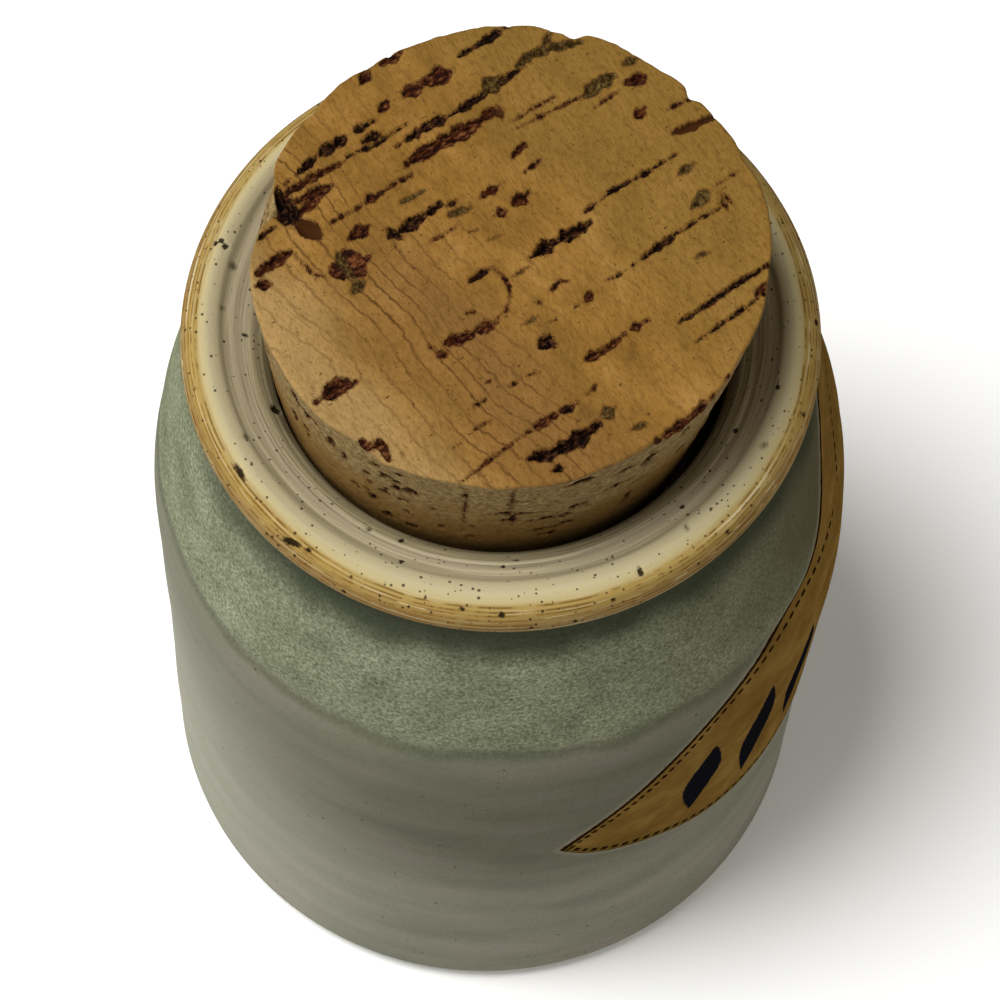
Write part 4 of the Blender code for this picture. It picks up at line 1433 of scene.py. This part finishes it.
@dataclass(frozen=True)
class NaturalCork:
    """Natural cork: the sanded bark of the cork oak.

    Dry and matt, honey brown, crossed by darker growth lines, with dark lenticels whose
    walls are bark brown, and paler, greyer sides. The sizes of its patterns are millimetres.
    """

    grain: float
    ior: float = 1.4
    specular: float = 0.05
    top_middle: tuple[float, float, float] = (1.86, 0.0, 177.0)
    sway_size: float = 2.2
    grit_size: float = 0.9
    cloud_size: float = 8.0
    tooth_size: float = 0.4

    def top_colour(self, recipe: Recipe, place: Socket, fine: Socket) -> Socket:
        """Colour of the sanded top, with its tones and growth lines.

        Args:
            recipe: The cork's recipe.
            place: Object coordinates in millimetres, turned along the grain.
            fine: Fine noise drawn out along the grain, from 0 to 1.

        Returns:
            The colour.
        """
        broad = recipe.add("VectorMath", {0: place, 1: (8.0, 13.0, 8.0)}, operation="DIVIDE")
        slow = recipe.add("TexNoise", {"Vector": broad, "Scale": 1.0, "Detail": 4.0, "Roughness": 0.6})
        colour = recipe.add("ValToRGB", {"Fac": slow}, stops=(
            (0.28, "#664A1E"), (0.45, "#7A5927"), (0.58, "#86622E"), (0.75, "#96723E")))
        tones = recipe.add("SeparateXYZ", {0: recipe.add("Attribute", attribute_name="tone", out="Vector")})
        for number, tone in enumerate(("#A1875A", "#70502C", "#745A28")):
            weight = tones.node.outputs[number]
            colour = recipe.add("Mix", {FACTOR: weight, FIRST: colour, SECOND: linear(tone)}, **COLOURS)
        shade = recipe.add("ValToRGB", {"Fac": fine}, stops=(
            (0.25, "#C4BAAC"), (0.42, "#ECE8E2"), (0.55, "#FFFFFF"), (0.75, "#FFFFFF")))
        colour = recipe.add("Mix", {FACTOR: 1.0, FIRST: colour, SECOND: shade},
                            **COLOURS, blend_type="MULTIPLY")
        growth = recipe.add("Attribute", attribute_name="growth", out="Vector")
        growth = recipe.add("SeparateXYZ", {0: growth})
        sway = recipe.add("TexNoise", {"Vector": place, "Scale": 1 / self.sway_size, "Detail": 3.0,
                                       "Roughness": 0.6})
        sway = recipe.add("MapRange", {"Value": sway, "To Min": -0.32, "To Max": 0.32})
        phase = recipe.add("Math", {0: growth, 1: sway}, operation="ADD")
        off = recipe.add("Math", {0: phase, 1: 0.5}, operation="PINGPONG")
        line = recipe.add("MapRange", {"Value": off, "From Min": 0.12, "From Max": 0.01}, **SOFT)
        line = recipe.add("Math", {0: line, 1: growth.node.outputs[1]}, operation="MULTIPLY")
        worn = recipe.add("MapRange", {"Value": slow, "From Min": 0.40, "From Max": 0.56, "To Min": 0.35},
                          **SOFT)
        line = recipe.add("Math", {0: line, 1: worn}, operation="MULTIPLY")
        return recipe.add("Mix", {FACTOR: line, FIRST: colour, SECOND: linear("#432A12")}, **COLOURS)

    def side_colour(self, recipe: Recipe, place: Socket) -> Socket:
        """Colour of the side: greyer bark, golden lower down, with thin level dashes.

        Args:
            recipe: The cork's recipe.
            place: Object coordinates in millimetres, turned along the grain.

        Returns:
            The colour.
        """
        grit = recipe.add("TexNoise", {"Vector": place, "Scale": 1 / self.grit_size, "Detail": 4.0,
                                       "Roughness": 0.7})
        colour = recipe.add("ValToRGB", {"Fac": grit}, stops=(
            (0.26, "#45361C"), (0.42, "#695533"), (0.55, "#7B6742"), (0.72, "#91805C")))
        cloud = recipe.add("TexNoise", {"Vector": place, "Scale": 1 / self.cloud_size, "Detail": 3.0})
        height = recipe.add("SeparateXYZ", {0: place}, out=2)
        warm = recipe.add("MapRange", {"Value": cloud, "To Min": -14.0, "To Max": 14.0})
        warm = recipe.add("Math", {0: warm, 1: height}, operation="ADD")
        warm = recipe.add("MapRange", {"Value": warm, "From Min": -12.0, "From Max": -22.0, "To Max": 0.6},
                          **SOFT)
        colour = recipe.add("Mix", {FACTOR: warm, FIRST: colour, SECOND: linear("#765628")}, **COLOURS)
        level = recipe.add("VectorMath", {0: place, 1: (2.6, 2.6, 0.32)}, operation="DIVIDE")
        dashes = recipe.add("TexNoise", {"Vector": level, "Scale": 1.0, "Detail": 2.0})
        dark = recipe.add("MapRange", {"Value": dashes, "From Min": 0.62, "From Max": 0.70, "To Max": 0.6},
                          **SOFT)
        return recipe.add("Mix", {FACTOR: dark, FIRST: colour, SECOND: linear("#2E2010")}, **COLOURS)

    def pored(self, recipe: Recipe, place: Socket, colour: Socket) -> tuple[Socket, Socket]:
        """Darken the pores, with ragged edges and bark, moss or rust inside.

        Args:
            recipe: The cork's recipe.
            place: Object coordinates in millimetres.
            colour: Colour of the plain cork.

        Returns:
            The colour with its pores, and how far the surface is inside one.
        """
        pore = recipe.add("Attribute", attribute_name="pore", out="Fac")
        fray = recipe.add("VectorMath", {0: place, 1: (0.55, 0.8, 0.8)}, operation="DIVIDE")
        rough = recipe.add("TexNoise", {"Vector": fray, "Scale": 1.0, "Detail": 4.0, "Roughness": 0.7})
        drawn = recipe.add("VectorMath", {0: place, 1: (1.2, 0.6, 0.6)}, operation="DIVIDE")
        streak = recipe.add("TexNoise", {"Vector": drawn, "Scale": 1.0, "Detail": 3.0, "Roughness": 0.6})
        jag = recipe.add("MapRange", {"Value": rough, "From Min": 0.25, "From Max": 0.75, "To Min": -0.42,
                                      "To Max": 0.34})
        ragged = recipe.add("Math", {0: pore, 1: jag}, operation="ADD")
        weights = recipe.add("Attribute", attribute_name="pore_fill", out="Vector")
        weights = recipe.add("SeparateXYZ", {0: weights})
        bark = recipe.add("ValToRGB", {"Fac": streak}, stops=(
            (0.36, "#160804"), (0.47, "#2C120A"), (0.57, "#4C2813"), (0.68, "#70492A")))
        moss = recipe.add("ValToRGB", {"Fac": rough}, stops=(
            (0.34, "#170E06"), (0.46, "#33240E"), (0.58, "#523F1E"), (0.70, "#6E5934")))
        # Deep fissures go near black: partly the cork's dark pore fill, partly painted shade in their depth
        deep = recipe.add("ValToRGB", {"Fac": streak}, stops=(
            (0.42, "#0C0604"), (0.50, "#1C0D07"), (0.58, "#382012"), (0.70, "#5E3F22")))
        fill = recipe.add("Mix", {FACTOR: weights, FIRST: deep, SECOND: bark}, **COLOURS)
        fill = recipe.add("Mix", {FACTOR: weights.node.outputs[1], FIRST: fill, SECOND: moss}, **COLOURS)
        fill = recipe.add("Mix", {FACTOR: weights.node.outputs[2], FIRST: fill, SECOND: linear("#3A200C")},
                          **COLOURS)
        halo = recipe.add("MapRange", {"Value": ragged, "From Min": -0.45, "From Max": 0.0, "To Max": 0.6},
                          **SOFT)
        colour = recipe.add("Mix", {FACTOR: halo, FIRST: colour, SECOND: linear("#4A2D12")}, **COLOURS)
        inside = recipe.add("MapRange", {"Value": ragged, "From Min": -0.04, "From Max": 0.12}, **SOFT)
        colour = recipe.add("Mix", {FACTOR: inside, FIRST: colour, SECOND: fill}, **COLOURS)
        return colour, inside

    def material(self) -> bpy.types.Material:
        """Build the cork's material.

        Returns:
            The material.
        """
        recipe = Recipe(bpy.data.materials.new("natural cork"))
        back = Matrix.Rotation(-self.grain, 3, "Z")
        place = recipe.add("Mapping", {
            "Vector": recipe.add("TexCoord", out="Object"), "Location": back @ -Vector(self.top_middle),
            "Rotation": (0.0, 0.0, -self.grain), "Scale": (1 / MM, 1 / MM, 1 / MM)})
        fibre = recipe.add("VectorMath", {0: place, 1: (0.38, 1.2, 0.5)}, operation="DIVIDE")
        fine = recipe.add("TexNoise", {"Vector": fibre, "Scale": 1.0, "Detail": 4.0, "Roughness": 0.7})
        side = recipe.add("Attribute", attribute_name="side", out="Fac")
        top = self.top_colour(recipe, place, fine)
        colour = recipe.add("Mix", {FACTOR: side, FIRST: top, SECOND: self.side_colour(recipe, place)},
                            **COLOURS)
        drawn = recipe.add("VectorMath", {0: place, 1: (1.1, 0.6, 0.6)}, operation="DIVIDE")
        fleck = recipe.add("TexNoise", {"Vector": drawn, "Scale": 1.0, "Detail": 2.0, "Roughness": 0.6})
        dark = recipe.add("MapRange", {"Value": fleck, "From Min": 0.66, "From Max": 0.73, "To Max": 0.7},
                          **SOFT)
        colour = recipe.add("Mix", {FACTOR: dark, FIRST: colour, SECOND: linear("#3A2210")}, **COLOURS)
        colour, inside = self.pored(recipe, place, colour)
        tooth = recipe.add("TexNoise", {"Vector": place, "Scale": 1 / self.tooth_size, "Detail": 3.0,
                                        "Roughness": 0.65})
        height = recipe.add("Math", {0: tooth, 1: inside}, operation="SUBTRACT")
        dull = recipe.add("MapRange", {"Value": tooth, "To Min": 0.72, "To Max": 0.92})
        recipe.shader.inputs["IOR"].default_value = self.ior
        recipe.shader.inputs["Specular IOR Level"].default_value = self.specular
        recipe.finish(colour, dull, height, 0.25 * MM, 0.6)
        return recipe.material


# The studio

@dataclass(frozen=True)
class SkyPatch:
    """A soft patch of light in the surround: where it is, how bright, its colour and its reach."""

    towards: tuple[float, float, float]
    glow: float
    colour: str
    start: float


SURROUND = (
    SkyPatch((-1.0, -0.1, 0.15), 2.55, "#FFFFFF", 0.45),
    SkyPatch((0.8, -0.2, 0.6), 0.82, "#FFFBF2", 0.45),
)


@dataclass
class Studio:
    """The pale floor, the soft light and the camera of the photograph's view.

    The camera was fitted with the collar's radius as its unit, so its distance and its
    shifts count in collar radii.
    """

    floor_size: float = 4.0
    floor_colour: str = "#FDFDFC"
    lamp_towards: Vector = Vector((-0.28, -0.06, 0.95))
    lamp_away: float = 1.3
    lamp_size: float = 0.55
    lamp_power: float = 16.4
    aim: Vector = Vector((0.00075, 0.0, 0.149))
    unit: float = 0.0484
    elevation: float = math.radians(66.3381)
    roll: float = math.radians(1.103)
    distance: float = 12.5008
    shift_right: float = 0.0023
    shift_up: float = 0.5171
    lens: float = 144.0

    def floor(self) -> None:
        """Lay the floor that the jar stands on."""
        shape = bmesh.new()
        bmesh.ops.create_grid(shape, x_segments=4, y_segments=4, size=self.floor_size / 2)
        floor = dress("floor", shape)
        recipe = Recipe(bpy.data.materials.new("matt white card"))
        recipe.shader.inputs["Base Color"].default_value = linear(self.floor_colour)
        recipe.shader.inputs["Roughness"].default_value = 0.9
        floor.data.materials.append(recipe.material)

    def light(self) -> None:
        """Set a pale surround and a large soft lamp above, to the left."""
        world = bpy.data.worlds.new("pale surround")
        recipe = Recipe(world)
        direction = recipe.add("TexCoord", out="Generated")
        total = None
        for patch in SURROUND:
            facing = recipe.add("VectorMath", {0: direction, 1: Vector(patch.towards).normalized()},
                                operation="DOT_PRODUCT", out="Value")
            share = recipe.add("MapRange", {"Value": facing, "From Min": patch.start, "From Max": 1.0},
                               **SOFT)
            tint = [patch.glow * value for value in linear(patch.colour)[:3]]
            light = recipe.add("VectorMath", {0: share, 1: tint}, operation="MULTIPLY")
            if total is None:
                total = light
            else:
                total = recipe.add("VectorMath", {0: total, 1: light}, operation="ADD")
        recipe.tree.links.new(total, recipe.tree.nodes["Background"].inputs["Color"])
        bpy.context.scene.world = world
        lamp = bpy.data.lights.new("soft box", "AREA")
        lamp.shape = "DISK"
        lamp.size = self.lamp_size
        lamp.energy = self.lamp_power
        holder = bpy.data.objects.new("soft box", lamp)
        holder.location = self.aim + self.lamp_away * self.lamp_towards.normalized()
        holder.rotation_euler = self.lamp_towards.to_track_quat("Z", "Y").to_euler()
        bpy.context.scene.collection.objects.link(holder)

    def camera(self) -> None:
        """Place the camera as fitted to the circles in the photograph."""
        back = Vector((0.0, -math.cos(self.elevation), math.sin(self.elevation)))
        up = Vector((0.0, math.sin(self.elevation), math.cos(self.elevation)))
        right = Vector((1.0, 0.0, 0.0))
        turned_right = math.cos(self.roll) * right + math.sin(self.roll) * up
        turned_up = math.cos(self.roll) * up - math.sin(self.roll) * right
        place = back * self.distance - turned_right * self.shift_right - turned_up * self.shift_up
        camera = bpy.data.objects.new("camera", bpy.data.cameras.new("camera"))
        camera.data.sensor_width = 36.0
        camera.data.lens = self.lens
        camera.data.clip_end = 20.0
        axes = Matrix((turned_right, turned_up, back)).transposed()
        camera.matrix_world = Matrix.Translation(self.aim + self.unit * place) @ axes.to_4x4()
        bpy.context.scene.collection.objects.link(camera)
        bpy.context.scene.camera = camera

    def build(self) -> None:
        """Set the whole studio."""
        self.floor()
        self.light()
        self.camera()
        bpy.context.scene.view_settings.view_transform = "Standard"


def main() -> None:
    """Build the studio, the jar and its stopper, and report each piece."""
    logging.basicConfig(level=logging.INFO, format="%(message)s")
    Studio().build()
    for piece in (StonewareJar().build(), CorkStopper().build()):
        triangles = sum(len(face.vertices) - 2 for face in piece.data.polygons)
        LOG.info("%s: %d triangles", piece.name, triangles)


if __name__ == "__main__":
    main()
